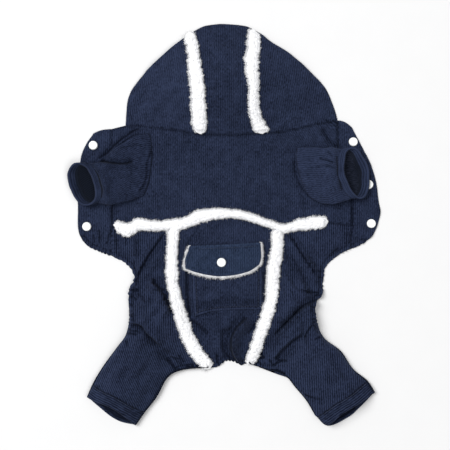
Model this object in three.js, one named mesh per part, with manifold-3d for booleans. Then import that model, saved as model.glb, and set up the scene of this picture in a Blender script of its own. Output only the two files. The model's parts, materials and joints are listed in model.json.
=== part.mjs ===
// A dog jumpsuit of corduroy, lying flat on its belly side with its back up. A hood of three panels
// lies above the neck seam, the opened belly bands are spread to both sides, the two sleeves lie over
// them, and the two hind legs end in open cuffs. Fleece strips cover the main seams, and a small
// pocket with a snapped flap sits on the lower back.
// Units are millimetres: +X to the wearer's right as seen here, +Y towards the hood, +Z up.
import * as THREE from "three";
import { mergeVertices } from "three/addons/utils/BufferGeometryUtils.js";
import Module from "manifold-3d";

// Lengths down the middle of the garment
const HOOD_HEIGHT = 132;
const YOKE_LENGTH = 96;
const REAR_LENGTH = 180;
const LEG_DROP = 72;

// Widths across it
const HOOD_WIDTH = 240;
const HIP_WIDTH = 240;
const CHEST_SPREAD = 372;

// Cloth, fleece and the gap that neighbours keep
const CLOTH = 2;
const POCKET_CLOTH = 1.6;
const HEM_EXTRA = 0.7;
const PILE = 4.5;
const TRIM_WIDTH = 18;
const FLAP_EDGING = 3;
const EDGING_PILE = 2.2;
const GAP = 0.3;
const LAY_GAP = 0.9;
const SEAM_INSET = 0.35;

// How high the cloth stands where it is not pressed flat
const HOOD_LOFT = 19;
const BACK_LOFT = 7;
const LEG_LOFT = 13;
const FOLD_HEIGHT = 3;
const POUCH_LOFT = 2.5;
const RUFFLE_HEIGHT = 1.5;

// Sleeves
const SLEEVE_HEIGHT = 17;
const ARMHOLE_LENGTH = 76;
const ARMHOLE_WIDTH = 18;

// Snaps
const SNAP_DIAMETER = 10.7;
const SNAP_HEIGHT = 2.4;
const SNAP_POST = 4;

// The pattern is drafted on a grid. Its lines across the garment and along it fall where the lengths
// and widths above put them, with the rest spread evenly between: [grid line, place].
const ACROSS_LINES = [
  [0, 0],
  [2, HIP_WIDTH / 2],
  [3.1, CHEST_SPREAD / 2],
];
const ALONG_LINES = [
  [-5.8, -YOKE_LENGTH - REAR_LENGTH - LEG_DROP],
  [-4.6, -YOKE_LENGTH - REAR_LENGTH],
  [-1.6, -YOKE_LENGTH],
  [0, 0],
  [2.2, HOOD_HEIGHT],
];
const HOOD_EASE_LINE = 2;
const HOOD_EASE = HOOD_WIDTH / HIP_WIDTH - 1;

// Seams and edges on the grid, as points [across, along]
const NECK_LEFT = [[-1.97, 0.18], [-1.63, 0.17], [-1.19, 0.12], [-0.85, 0.07], [-0.49, 0.01]];
const NECK_CENTRE = [[-0.49, 0.01], [0.05, -0.01], [0.55, 0.01], [0.75, 0.03]];
const NECK_RIGHT = [[0.75, 0.03], [0.97, 0.04], [1.35, 0.1], [1.71, 0.18], [2.05, 0.25], [2.25, 0.28]];
const HOOD_EDGE_LEFT = [[-1.97, 0.18], [-1.95, 0.4], [-1.93, 0.64], [-1.87, 0.84], [-1.54, 1.28]];
const HOOD_EDGE_RIGHT = [[2.25, 0.28], [2.19, 0.5], [2.11, 0.7], [2.01, 0.92], [1.55, 1.4]];
const HOOD_TOP_LEFT = [[-1.54, 1.28], [-1.29, 1.52], [-1.03, 1.75], [-0.7, 2]];
const HOOD_TOP_CENTRE = [[-0.7, 2], [-0.43, 2.15], [-0.23, 2.19], [0.05, 2.2], [0.45, 2.15], [0.58, 2.08]];
const HOOD_TOP_RIGHT = [[0.58, 2.08], [0.73, 2], [0.91, 1.85], [1.25, 1.64], [1.55, 1.4]];
const HOOD_SEAM_LEFT = [[-0.49, 0.01], [-0.51, 0.64], [-0.54, 1], [-0.59, 1.38], [-0.63, 1.7], [-0.7, 2]];
const HOOD_SEAM_RIGHT = [[0.75, 0.03], [0.66, 0.24], [0.59, 0.54], [0.55, 1.16], [0.53, 1.4], [0.58, 2.08]];
const BAND_SEAM_LEFT = [[-2.25, 0.11], [-2.25, -0.9], [-2.25, -1.86]];
const BAND_HEM_LEFT = [[-2.25, -1.86], [-2.25, -2.14], [-2.23, -2.42]];
const BAND_SEAM_RIGHT = [[2.27, 0.28], [2.28, -0.22], [2.41, -0.8], [2.55, -1.38], [2.55, -1.82]];
const BAND_HEM_RIGHT = [[2.55, -1.82], [2.52, -2.04], [2.49, -2.28]];
const BAND_EDGE_LEFT = [
  [-2.61, 0.02], [-2.75, -0.18], [-2.85, -0.42], [-2.91, -0.9], [-2.92, -1.44], [-2.9, -1.94], [-2.83, -2.1],
];
const BAND_EDGE_RIGHT = [
  [2.53, 0.15], [2.67, -0.12], [2.87, -0.5], [2.99, -0.82], [3.07, -1.32], [3.1, -1.58], [2.95, -2],
  [2.79, -2.14],
];
const BAND_TOP_LEFT = [[-2.61, 0.02], [-2.47, 0.08], [-2.25, 0.11]];
const BAND_TOP_RIGHT = [[2.27, 0.28], [2.39, 0.25], [2.53, 0.15]];
const BAND_FOOT_LEFT = [[-2.83, -2.1], [-2.71, -2.22], [-2.49, -2.32], [-2.23, -2.42]];
const BAND_FOOT_RIGHT = [[2.49, -2.28], [2.65, -2.22], [2.79, -2.14]];
const WAIST_LEFT = [[-2.25, -1.86], [-1.77, -1.84], [-1.29, -1.82], [-1.01, -1.8]];
const WAIST_CENTRE = [
  [-1.01, -1.8], [-0.79, -1.75], [-0.49, -1.63], [-0.09, -1.57], [0.21, -1.58], [0.49, -1.64],
  [0.73, -1.72], [1.05, -1.83],
];
const WAIST_RIGHT = [[1.05, -1.83], [1.19, -1.87], [1.51, -1.8], [2.03, -1.76], [2.55, -1.82]];
const BACK_SEAM_LEFT = [
  [-1.01, -1.8], [-1.04, -2.2], [-1.04, -2.92], [-0.97, -3.24], [-0.81, -3.8], [-0.61, -4.26],
  [-0.31, -4.64],
];
const BACK_SEAM_RIGHT = [
  [1.05, -1.83], [1.05, -2.2], [0.97, -2.7], [0.92, -3.3], [0.73, -3.92], [0.56, -4.4], [0.48, -4.55],
];
const TAIL_EDGE = [[-0.31, -4.64], [-0.15, -4.62], [0.03, -4.5], [0.21, -4.52], [0.31, -4.58], [0.48, -4.55]];
const LEG_OUTER_LEFT = [
  [-2.23, -2.42], [-1.97, -2.56], [-1.84, -2.7], [-1.79, -2.88], [-1.89, -3.08], [-1.89, -3.68],
  [-1.96, -4], [-2.14, -4.25], [-2.41, -4.62], [-2.61, -4.95], [-2.73, -5.22],
];
const LEG_OUTER_RIGHT = [
  [2.49, -2.28], [2.29, -2.38], [2.01, -2.64], [1.97, -2.88], [1.93, -3.2], [1.81, -3.35],
  [1.85, -3.8], [1.98, -4.06], [2.31, -4.32], [2.56, -4.68], [2.85, -4.92], [2.99, -5.13],
];
const LEG_INNER_LEFT = [
  [-0.31, -4.64], [-0.71, -4.66], [-1.01, -4.74], [-1.17, -4.88], [-1.34, -5.2], [-1.61, -5.55],
  [-1.77, -5.78],
];
const LEG_INNER_RIGHT = [
  [0.48, -4.55], [0.83, -4.66], [1.06, -4.71], [1.23, -4.8], [1.41, -5.02], [1.63, -5.28], [1.81, -5.58],
];
const CUFF_TOP_LEFT = [[-2.73, -5.22], [-2.59, -5.3], [-2.27, -5.44], [-2.01, -5.6], [-1.77, -5.78]];
const CUFF_TOP_RIGHT = [[2.99, -5.13], [2.61, -5.4], [2.29, -5.6], [2.06, -5.78], [1.81, -5.58]];
const CUFF_LIP_LEFT = [[-2.73, -5.22], [-2.47, -5.45], [-2.29, -5.6], [-2.07, -5.72], [-1.77, -5.78]];
const CUFF_LIP_RIGHT = [[2.99, -5.13], [2.65, -5.48], [2.51, -5.6], [2.06, -5.8], [1.81, -5.58]];
const POUCH_TOP = [[-0.62, -2.54], [0.06, -2.54], [0.73, -2.54]];
const POUCH_FOOT = [[-0.59, -3.61], [-0.29, -3.52], [0.09, -3.48], [0.73, -3.47]];
const POUCH_LEFT = [[-0.62, -2.54], [-0.63, -2.8], [-0.59, -3.61]];
const POUCH_RIGHT = [[0.73, -2.54], [0.74, -2.84], [0.73, -3.47]];
const FLAP_TOP = [[-0.69, -2.22], [0.25, -2.18], [0.71, -2.15]];
const FLAP_LEFT = [[-0.69, -2.22], [-0.78, -2.52], [-0.77, -2.66]];
const FLAP_RIGHT = [[0.71, -2.15], [0.72, -2.42], [0.69, -2.58]];
const FLAP_FOOT = [[-0.77, -2.66], [-0.54, -2.74], [-0.07, -2.81], [0.46, -2.72], [0.69, -2.58]];

// Broad swells: [across, along, reach across, reach along, height]
const SWELLS = [
  [0.08, 1.05, 2.15, 1.25, HOOD_LOFT],
  [0, -3.1, 1.9, 1.75, BACK_LOFT],
];

// Ridges and creases on the grid, a crease being a negative height:
// [from across, from along, to across, to along, reach, height]
const RIDGES = [
  [-1.5, -3.8, -2.28, -5.5, 0.9, LEG_LOFT],
  [1.5, -3.8, 2.42, -5.5, 0.95, LEG_LOFT],
  [-1.45, -2.95, -1.45, -3.6, 0.62, 0.8 * FOLD_HEIGHT],
  [1.47, -2.95, 1.47, -3.6, 0.62, 0.8 * FOLD_HEIGHT],
  [-1.32, -2.3, -1.62, -2.75, 0.2, 0.6 * FOLD_HEIGHT],
  [-1.78, -3.7, -1.48, -4.05, 0.16, -0.8 * FOLD_HEIGHT],
  [-1.3, -3.1, -1.1, -3.4, 0.2, 0.5 * FOLD_HEIGHT],
  [-1.2, -4.4, -1.1, -4.6, 0.16, -0.6 * FOLD_HEIGHT],
  [1.42, -2.3, 1.75, -2.8, 0.2, 0.8 * FOLD_HEIGHT],
  [1.72, -3.3, 1.25, -3.8, 0.17, -FOLD_HEIGHT],
  [1.6, -3.85, 1.1, -4.4, 0.16, -0.8 * FOLD_HEIGHT],
  [0.42, -3.75, 0.13, -4.18, 0.2, FOLD_HEIGHT],
  [0.13, -4.18, 0.15, -4.4, 0.16, 0.8 * FOLD_HEIGHT],
  [-0.6, -3.75, -0.4, -3.9, 0.16, 0.4 * FOLD_HEIGHT],
  [2.25, -0.22, 2.35, -0.22, 0.16, 0.7 * FOLD_HEIGHT],
];

// Short ruffles along the tail edge, where its elastic gathers the cloth
const RUFFLES = 4;
const RUFFLE_LENGTH = 0.35;
const RUFFLE_REACH = 0.11;
for (let i = 0; i < RUFFLES; i += 1) {
  const share = (i + 0.5) / RUFFLES;
  const from = THREE.MathUtils.lerp(TAIL_EDGE[0][0], TAIL_EDGE.at(-1)[0], share);
  const foot = THREE.MathUtils.lerp(TAIL_EDGE[0][1], TAIL_EDGE.at(-1)[1], share);
  RIDGES.push([from, foot, from, foot + RUFFLE_LENGTH, RUFFLE_REACH, RUFFLE_HEIGHT]);
}

// Widths along each fleece strip, as shares of the trim width
const HOOD_TRIM_WIDTHS_LEFT = [1.02, 1.1, 1.05, 1, 0.85, 0.75];
const HOOD_TRIM_WIDTHS_RIGHT = [1.15, 1, 0.82, 0.8, 1.05, 0.9];
const YOKE_TRIM_WIDTHS = [1, 0.95, 0.8, 0.85, 0.85, 0.7, 0.58, 0.56, 0.6, 0.82, 0.9, 0.88];
const BACK_TRIM_WIDTHS_LEFT = [0.84, 0.8, 0.82, 0.85, 1, 1.05, 1];
const BACK_TRIM_WIDTHS_RIGHT = [0.86, 0.96, 1.03, 0.9, 0.93, 0.9, 0.82];

// Sleeve sections from the armhole to the cuff. Each has its middle on the grid, lift as a share of
// what clears the snaps, length and thickness as shares of the armhole's length and of the sleeve's
// height, the plan angle of its long axis, and how far its upper side leans towards the shoulder.
const SLEEVE_LEFT = [
  { across: -1.6, along: -0.6, lift: 0, length: 1, thickness: 0.5, turn: -6, lean: 88 },
  { across: -1.85, along: -0.66, lift: 0.6, length: 1.02, thickness: 0.42, turn: -4, lean: 50 },
  { across: -2.2, along: -0.8, lift: 1, length: 0.95, thickness: 0.4, turn: -2, lean: 18 },
  { across: -2.52, along: -0.95, lift: 1, length: 0.74, thickness: 0.45, turn: 2, lean: 4 },
  { across: -2.66, along: -1, lift: 1, length: 0.66, thickness: 0.48, turn: 12, lean: 14 },
  { across: -2.93, along: -0.99, lift: 1, length: 0.66, thickness: 0.62, turn: 20, lean: 42 },
];
const SLEEVE_RIGHT = [
  { across: 1.63, along: -0.76, lift: 0, length: 0.84, thickness: 0.5, turn: 16, lean: 88 },
  { across: 1.86, along: -0.81, lift: 0.6, length: 0.9, thickness: 0.42, turn: 10, lean: 50 },
  { across: 2.08, along: -0.84, lift: 1, length: 0.9, thickness: 0.42, turn: 5, lean: 18 },
  { across: 2.3, along: -0.84, lift: 1, length: 0.9, thickness: 0.45, turn: 4, lean: 4 },
  { across: 2.46, along: -0.81, lift: 1, length: 0.86, thickness: 0.5, turn: 10, lean: 16 },
  { across: 2.7, along: -0.79, lift: 1, length: 0.82, thickness: 0.66, turn: 14, lean: 48 },
];

// Snap places on the grid
const SNAPS = {
  snap_left_top: [-2.62, -0.21],
  snap_left_middle: [-2.76, -1],
  snap_left_bottom: [-2.75, -1.83],
  snap_right_top: [2.57, -0.14],
  snap_right_middle: [2.88, -0.99],
  snap_right_bottom: [2.93, -1.77],
};
const POCKET_SNAP = [-0.06, -2.54];

// Along a hind leg, from the waist to the cuff: where its outer edge folds under, and where it
// becomes a tube. Across it: how much the fold and the edge's seam take.
const FOLD_START = 0.36;
const TUBE_START = 0.6;
const FOLD_SHARE = 0.05;
const EDGE_SHARE = 0.01;

// Along a sleeve, where its hem starts
const HEM_START = 0.85;

// Where the strips start and end along their seams
const YOKE_TRIM_SPAN = [0.01, 0.9];
const BACK_TRIM_SPAN = [0.06, 1];
const FULL_SPAN = [0, 1];

// Shape of a strip's rounded back, and where the pouch swells, as shares
const TRIM_SHOULDER = 0.45;
const POUCH_SWELL_AT = 0.68;
const POUCH_SWELL_REACH = 0.34;

// The flap's layers grow outwards from this point of the grid
const FLAP_MIDDLE = [0, -2.2];

const NAVY = { color: 0x262f47, roughness: 0.95, metalness: 0 };
const WHITE_FLEECE = { color: 0xf0f1f4, roughness: 1, metalness: 0 };
const WHITE_PLASTIC = { color: 0xf6f8f8, roughness: 0.35, metalness: 0 };

const wasm = await Module();
wasm.setup();

// A value read off a list of [grid line, place], past its ends as well
function placed(lines, at) {
  let i = 1;
  while (i < lines.length - 1 && at > lines[i][0]) i += 1;
  const [from, low] = lines[i - 1];
  const [to, high] = lines[i];
  return low + ((at - from) / (to - from)) * (high - low);
}

// Grid point to millimetres
function place(across, along) {
  const ease = 1 + HOOD_EASE * THREE.MathUtils.clamp(along / HOOD_EASE_LINE, 0, 1);
  const x = Math.sign(across) * placed(ACROSS_LINES, Math.abs(across)) * ease;
  return [x, placed(ALONG_LINES, along)];
}

// One at its middle, falling smoothly to nothing at its reach
const bump = (share) => (share < 1 ? (1 - share * share) ** 2 : 0);

// Distance on the grid from a point to the line between two others
function distanceToLine(a, b, fromA, fromB, toA, toB) {
  const alongA = toA - fromA;
  const alongB = toB - fromB;
  const share = ((a - fromA) * alongA + (b - fromB) * alongB) / (alongA ** 2 + alongB ** 2);
  const held = THREE.MathUtils.clamp(share, 0, 1);
  return Math.hypot(a - fromA - held * alongA, b - fromB - held * alongB);
}

// Height of the garment's upper surface over the floor at a grid point
function height(a, b) {
  let rise = 0;
  for (const [midA, midB, reachA, reachB, high] of SWELLS) {
    rise += high * bump(Math.hypot((a - midA) / reachA, (b - midB) / reachB));
  }
  for (const [fromA, fromB, toA, toB, reach, high] of RIDGES) {
    rise += high * bump(distanceToLine(a, b, fromA, fromB, toA, toB) / reach);
  }
  return CLOTH + Math.max(rise, 0);
}

// A curve through one or more lists of grid points, smooth within each list with a corner between
// them, read evenly along its length and straight on past its end
function curve(...lists) {
  const pieces = lists.map((list) => {
    const vectors = list.map(([a, b]) => new THREE.Vector3(a, b, 0));
    const path = new THREE.CatmullRomCurve3(vectors, false, "centripetal");
    path.arcLengthDivisions = 60;
    return path;
  });
  const total = pieces.reduce((sum, path) => sum + path.getLength(), 0);
  return (share) => {
    let ahead = share * total;
    let i = 0;
    while (i < pieces.length - 1 && ahead > pieces[i].getLength()) {
      ahead -= pieces[i].getLength();
      i += 1;
    }
    const held = THREE.MathUtils.clamp(ahead / pieces[i].getLength(), 0, 1);
    const past = ahead - held * pieces[i].getLength();
    return pieces[i].getPointAt(held).addScaledVector(pieces[i].getTangentAt(held), past);
  };
}

// The area between four curves: start and end run left to right, left and right from start to end
function area({ start, end, left, right }) {
  const corner = [left(0), right(0), left(1), right(1)];
  return (s, t) => {
    const point = start(s).multiplyScalar(1 - t).addScaledVector(end(s), t);
    point.addScaledVector(left(t), 1 - s).addScaledVector(right(t), s);
    point.addScaledVector(corner[0], -(1 - s) * (1 - t)).addScaledVector(corner[1], -s * (1 - t));
    return point.addScaledVector(corner[2], -(1 - s) * t).addScaledVector(corner[3], -s * t);
  };
}

// A strip of varying width along a seam, from one share of its length to another
function stripAlong(seam, widths, [from, to]) {
  const step = 0.002;
  return (s, t) => {
    const at = from + t * (to - from);
    const point = seam(at);
    const ahead = seam(Math.min(at + step, 1));
    const behind = seam(Math.max(at - step, 0));
    const [x0, y0] = place(behind.x, behind.y);
    const [x1, y1] = place(ahead.x, ahead.y);
    const span = Math.hypot(x1 - x0, y1 - y0);
    const scaleA = place(point.x + 1, point.y)[0] - place(point.x, point.y)[0];
    const scaleB = place(point.x, point.y + 1)[1] - place(point.x, point.y)[1];
    const stops = widths.map((width, i) => [i / (widths.length - 1), width]);
    const aside = (s - 0.5) * TRIM_WIDTH * placed(stops, t);
    return new THREE.Vector3(
      point.x + (aside * -(y1 - y0)) / span / scaleA,
      point.y + (aside * (x1 - x0)) / span / scaleB,
      0,
    );
  };
}

// Draws a row of vertices in from its edge towards the row beside it
function drawIn(edge, beside, by) {
  edge.forEach((vertex, i) => {
    const dx = beside[i][0] - vertex[0];
    const dy = beside[i][1] - vertex[1];
    const span = Math.hypot(dx, dy);
    vertex[0] += (dx / span) * by;
    vertex[1] += (dy / span) * by;
  });
}

// A closed sheet over part of an area. Upper and lower give its faces' heights at a grid point.
function sheet(over, { across, along, upper, lower, from = [0, 0], to = [1, 1], inset = SEAM_INSET }) {
  const rows = [];
  for (let j = 0; j <= along; j += 1) {
    const row = [];
    for (let i = 0; i <= across; i += 1) {
      const s = from[0] + (i / across) * (to[0] - from[0]);
      const t = from[1] + (j / along) * (to[1] - from[1]);
      const { x: a, y: b } = over(s, t);
      row.push([...place(a, b), upper(a, b, s, t), lower(a, b, s, t)]);
    }
    rows.push(row);
  }
  drawIn(rows[0], rows[1], inset);
  drawIn(rows.at(-1), rows.at(-2), inset);
  drawIn(rows.map((row) => row[0]), rows.map((row) => row[1]), inset);
  drawIn(rows.map((row) => row.at(-1)), rows.map((row) => row.at(-2)), inset);

  const wide = across + 1;
  const count = wide * (along + 1);
  const positions = [];
  for (const level of [2, 3]) {
    rows.flat().forEach((vertex) => positions.push(vertex[0], vertex[1], vertex[level]));
  }
  const faces = [];
  const quad = (p, q, r, s) => faces.push([p, q, r], [p, r, s]);
  for (let j = 0; j < along; j += 1) {
    for (let i = 0; i < across; i += 1) {
      const k = j * wide + i;
      quad(k, k + 1, k + 1 + wide, k + wide);
      quad(count + k, count + k + wide, count + k + 1 + wide, count + k + 1);
    }
  }
  const rim = [];
  for (let i = 0; i < across; i += 1) rim.push(i);
  for (let j = 0; j < along; j += 1) rim.push(j * wide + across);
  for (let i = across; i > 0; i -= 1) rim.push(along * wide + i);
  for (let j = along; j > 0; j -= 1) rim.push(j * wide);
  rim.forEach((k, i) => {
    const next = rim[(i + 1) % rim.length];
    quad(count + k, count + next, next, k);
  });
  return closedGeometry(positions, faces);
}

// A geometry from positions and faces, turned so that its faces point out
function closedGeometry(positions, faces) {
  const vertex = (k) => new THREE.Vector3().fromArray(positions, k * 3);
  const volume = faces.reduce((sum, [p, q, r]) => sum + vertex(p).dot(vertex(q).cross(vertex(r))), 0);
  const facing = volume < 0 ? faces.map(([p, q, r]) => [p, r, q]) : faces;
  const geometry = new THREE.BufferGeometry();
  geometry.setAttribute("position", new THREE.Float32BufferAttribute(positions, 3));
  geometry.setIndex(facing.flat());
  return geometry;
}

// Geometry to solid and back, for the joins and cuts
function solid(geometry) {
  const bare = geometry.clone();
  bare.deleteAttribute("normal");
  bare.deleteAttribute("uv");
  const merged = mergeVertices(bare, 1e-4);
  return new wasm.Manifold(
    new wasm.Mesh({
      numProp: 3,
      vertProperties: merged.attributes.position.array,
      triVerts: new Uint32Array(merged.index.array),
    }),
  );
}

function geometryOf(body) {
  const { vertProperties, triVerts } = body.getMesh();
  const geometry = new THREE.BufferGeometry();
  geometry.setAttribute("position", new THREE.Float32BufferAttribute(vertProperties, 3));
  geometry.setIndex(new THREE.Uint32BufferAttribute(triVerts, 1));
  return geometry;
}

// An upright round post with its middle at a grid point, to cut with
function roundCutter([a, b], radius) {
  const tall = 60;
  const post = new THREE.CylinderGeometry(radius, radius, tall, 12);
  post.rotateX(Math.PI / 2);
  post.translate(...place(a, b), 0);
  return solid(post);
}

// Cloth lying on the floor or lofted over it, one layer thick
const clothFaces = (across, along) => ({
  across,
  along,
  upper: height,
  lower: (a, b) => height(a, b) - CLOTH,
});

function hoodPanel(start, end, left, right, across) {
  const over = area({ start: curve(start), end: curve(end), left: curve(left), right: curve(right) });
  return sheet(over, clothFaces(across, 9));
}

function bellyBand(sides, snaps) {
  let body = solid(sheet(area(sides), clothFaces(4, 11)));
  for (const snap of snaps) body = body.subtract(roundCutter(SNAPS[snap], SNAP_POST / 2 + GAP));
  return geometryOf(body);
}

// The yoke reaches from band to band and has an oval armhole under the root of each sleeve
function yoke() {
  const over = area({
    start: curve([BAND_SEAM_LEFT[0], NECK_LEFT[0]], NECK_LEFT, NECK_CENTRE, NECK_RIGHT),
    end: curve(WAIST_LEFT, WAIST_CENTRE, WAIST_RIGHT),
    left: curve(BAND_SEAM_LEFT),
    right: curve(BAND_SEAM_RIGHT),
  });
  let body = solid(sheet(over, clothFaces(14, 6)));
  for (const [root] of [SLEEVE_LEFT, SLEEVE_RIGHT]) body = body.subtract(armhole(root));
  return geometryOf(body);
}

function armhole(root) {
  const rim = CLOTH + 2 * GAP;
  const oval = new THREE.CylinderGeometry(1, 1, 4 * CLOTH, 16);
  oval.rotateX(Math.PI / 2);
  oval.scale(ARMHOLE_WIDTH / 2 - rim, (root.length * ARMHOLE_LENGTH) / 2 - rim, 1);
  oval.rotateZ(THREE.MathUtils.degToRad(root.turn));
  oval.translate(...place(root.across, root.along), 0);
  return solid(oval);
}

function backPanel() {
  const over = area({
    start: curve(WAIST_CENTRE),
    end: curve(TAIL_EDGE),
    left: curve(BACK_SEAM_LEFT),
    right: curve(BACK_SEAM_RIGHT),
  });
  return sheet(over, clothFaces(10, 12));
}

// Hip and hind leg are one cloth: a single layer at the hip, and below it a tube that is open at the
// cuff and up into the hip, with its under layer reaching a little further than the upper one
function hipAndLeg({ waist, outer, inner, cuff, lip }) {
  const sides = { start: curve(waist), left: curve(...outer), right: curve(...inner) };
  const upperArea = area({ ...sides, end: curve(cuff) });
  const lowerArea = area({ ...sides, end: curve(lip) });
  const onFloor = () => 0;
  const whole = sheet(upperArea, {
    across: 9,
    along: 18,
    upper: height,
    lower: (a, b, s, t) => (t < TUBE_START ? height(a, b) - CLOTH : 0),
  });
  const hollow = sheet(upperArea, {
    across: 7,
    along: 8,
    from: [FOLD_SHARE, TUBE_START - 1.5 * FOLD_SHARE],
    to: [1 - FOLD_SHARE, 1 + FOLD_SHARE],
    upper: (a, b) => Math.max(height(a, b) - CLOTH - GAP / 2, 0.55 * CLOTH),
    lower: () => CLOTH / 2,
  });
  const under = sheet(lowerArea, {
    across: 6,
    along: 6,
    from: [EDGE_SHARE, TUBE_START - 2 * FOLD_SHARE],
    to: [1 - EDGE_SHARE, 1],
    upper: () => CLOTH,
    lower: onFloor,
  });
  const fold = sheet(upperArea, {
    across: 1,
    along: 4,
    from: [EDGE_SHARE, FOLD_START],
    to: [FOLD_SHARE, TUBE_START + FOLD_SHARE],
    upper: (a, b) => height(a, b) - CLOTH / 2,
    lower: onFloor,
  });
  const body = solid(whole).subtract(solid(hollow)).add(solid(under)).add(solid(fold));
  return geometryOf(body);
}

// A sleeve is a tube of cloth through its sections: its root lies over the armhole and faces down,
// its cuff faces out and up, and its hem is a little thicker
function sleeve(sections, outward) {
  const around = 16;
  const rings = [];
  const spine = new THREE.CatmullRomCurve3(
    sections.map(({ across, along, lift, thickness, lean }) => {
      const underside = CLOTH + 2 * GAP + lift * (SNAP_HEIGHT + GAP);
      const half = thickness * SLEEVE_HEIGHT * Math.cos(THREE.MathUtils.degToRad(lean));
      return new THREE.Vector3(...place(across, along), underside + half);
    }),
  );
  const steps = 9;
  const stops = (name) => sections.map((section, i) => [i / (sections.length - 1), section[name]]);
  const read = (name, share) => placed(stops(name), share);
  for (let k = 0; k <= steps; k += 1) {
    const share = k / steps;
    const hem = share > HEM_START ? HEM_EXTRA : 0;
    const middle = spine.getPoint(share);
    const turn = THREE.MathUtils.degToRad(read("turn", share));
    const lean = THREE.MathUtils.degToRad(read("lean", share));
    const long = new THREE.Vector3(-Math.sin(turn), Math.cos(turn), 0);
    const inward = new THREE.Vector3(-outward * Math.cos(turn), -outward * Math.sin(turn), 0);
    const up = inward.multiplyScalar(Math.sin(lean)).add(new THREE.Vector3(0, 0, Math.cos(lean)));
    const halfLong = (read("length", share) * ARMHOLE_LENGTH) / 2;
    const halfThick = read("thickness", share) * SLEEVE_HEIGHT;
    rings.push({ middle, long, up, halfLong: halfLong + hem / 2, halfThick: halfThick + hem / 2, hem });
  }
  const positions = [];
  const ringPoints = (ring, inset) => {
    for (let i = 0; i < around; i += 1) {
      const angle = (i / around) * 2 * Math.PI;
      const point = ring.middle.clone();
      point.addScaledVector(ring.long, Math.cos(angle) * (ring.halfLong - inset));
      point.addScaledVector(ring.up, Math.sin(angle) * (ring.halfThick - inset));
      positions.push(point.x, point.y, point.z);
    }
  };
  rings.forEach((ring) => ringPoints(ring, 0));
  rings.toReversed().forEach((ring) => ringPoints(ring, CLOTH + ring.hem));
  const loops = rings.length * 2;
  const faces = [];
  for (let k = 0; k < loops; k += 1) {
    for (let i = 0; i < around; i += 1) {
      const p = k * around + i;
      const q = k * around + ((i + 1) % around);
      const r = ((k + 1) % loops) * around + ((i + 1) % around);
      const s = ((k + 1) % loops) * around + i;
      faces.push([p, q, r], [p, r, s]);
    }
  }
  return closedGeometry(positions, faces);
}

// Fleece strips lie on the cloth, rounded across
function trim(over, along) {
  const round = (s) => TRIM_SHOULDER + (1 - TRIM_SHOULDER) * Math.sqrt(Math.max(0, 1 - (2 * s - 1) ** 2));
  return sheet(over, {
    across: 4,
    along,
    upper: (a, b, s) => height(a, b) + LAY_GAP + PILE * round(s),
    lower: (a, b) => height(a, b) + LAY_GAP,
  });
}

// Pocket: a patch pouch, the flap's fleece edging over it, and the flap on top
function pouch() {
  const over = area({
    start: curve(POUCH_TOP),
    end: curve(POUCH_FOOT),
    left: curve(POUCH_LEFT),
    right: curve(POUCH_RIGHT),
  });
  const acrossSwell = (s) => bump(Math.abs(2 * s - 1));
  const alongSwell = (t) => bump(Math.abs(t - POUCH_SWELL_AT) / POUCH_SWELL_REACH);
  const swell = (s, t) => POUCH_LOFT * acrossSwell(s) * alongSwell(t);
  return sheet(over, {
    across: 8,
    along: 6,
    upper: (a, b, s, t) => height(a, b) + LAY_GAP + POCKET_CLOTH + swell(s, t),
    lower: (a, b, s, t) => height(a, b) + LAY_GAP + swell(s, t),
  });
}

function flapLayer(grown, base, thick) {
  const [midA, midB] = FLAP_MIDDLE;
  const outward = grown / placed(ACROSS_LINES, 1);
  const grow = (points) =>
    points.map(([a, b]) => {
      const span = Math.hypot(a - midA, b - midB);
      return [a + ((a - midA) / span) * outward, b + (Math.min(b - midB, 0) / span) * outward];
    });
  const over = area({
    start: curve(grow(FLAP_TOP)),
    end: curve(grow(FLAP_FOOT)),
    left: curve(grow(FLAP_LEFT)),
    right: curve(grow(FLAP_RIGHT)),
  });
  const layer = sheet(over, {
    across: 10,
    along: 5,
    upper: (a, b) => height(a, b) + base + thick,
    lower: (a, b) => height(a, b) + base,
  });
  return geometryOf(solid(layer).subtract(roundCutter(POCKET_SNAP, SNAP_POST / 2 + GAP)));
}

// A snap: a cap with a raised rim and a dished middle, on a post that goes through the cloth
function snap(postLength) {
  const radius = SNAP_DIAMETER / 2;
  const profile = [
    [0, -postLength],
    [SNAP_POST / 2, -postLength],
    [SNAP_POST / 2, 0],
    [0.94 * radius, 0],
    [radius, 0.35 * SNAP_HEIGHT],
    [0.86 * radius, 0.85 * SNAP_HEIGHT],
    [0.66 * radius, SNAP_HEIGHT],
    [0.4 * radius, 0.78 * SNAP_HEIGHT],
    [0, 0.72 * SNAP_HEIGHT],
  ];
  const lathe = new THREE.LatheGeometry(profile.map(([r, z]) => new THREE.Vector2(r, z)), 10);
  lathe.rotateX(Math.PI / 2);
  return lathe;
}

const jumpsuit = new THREE.Group();

function addPiece(name, geometry, finish) {
  const mesh = new THREE.Mesh(geometry, new THREE.MeshStandardMaterial(finish));
  mesh.name = name;
  jumpsuit.add(mesh);
  return mesh;
}

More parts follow.
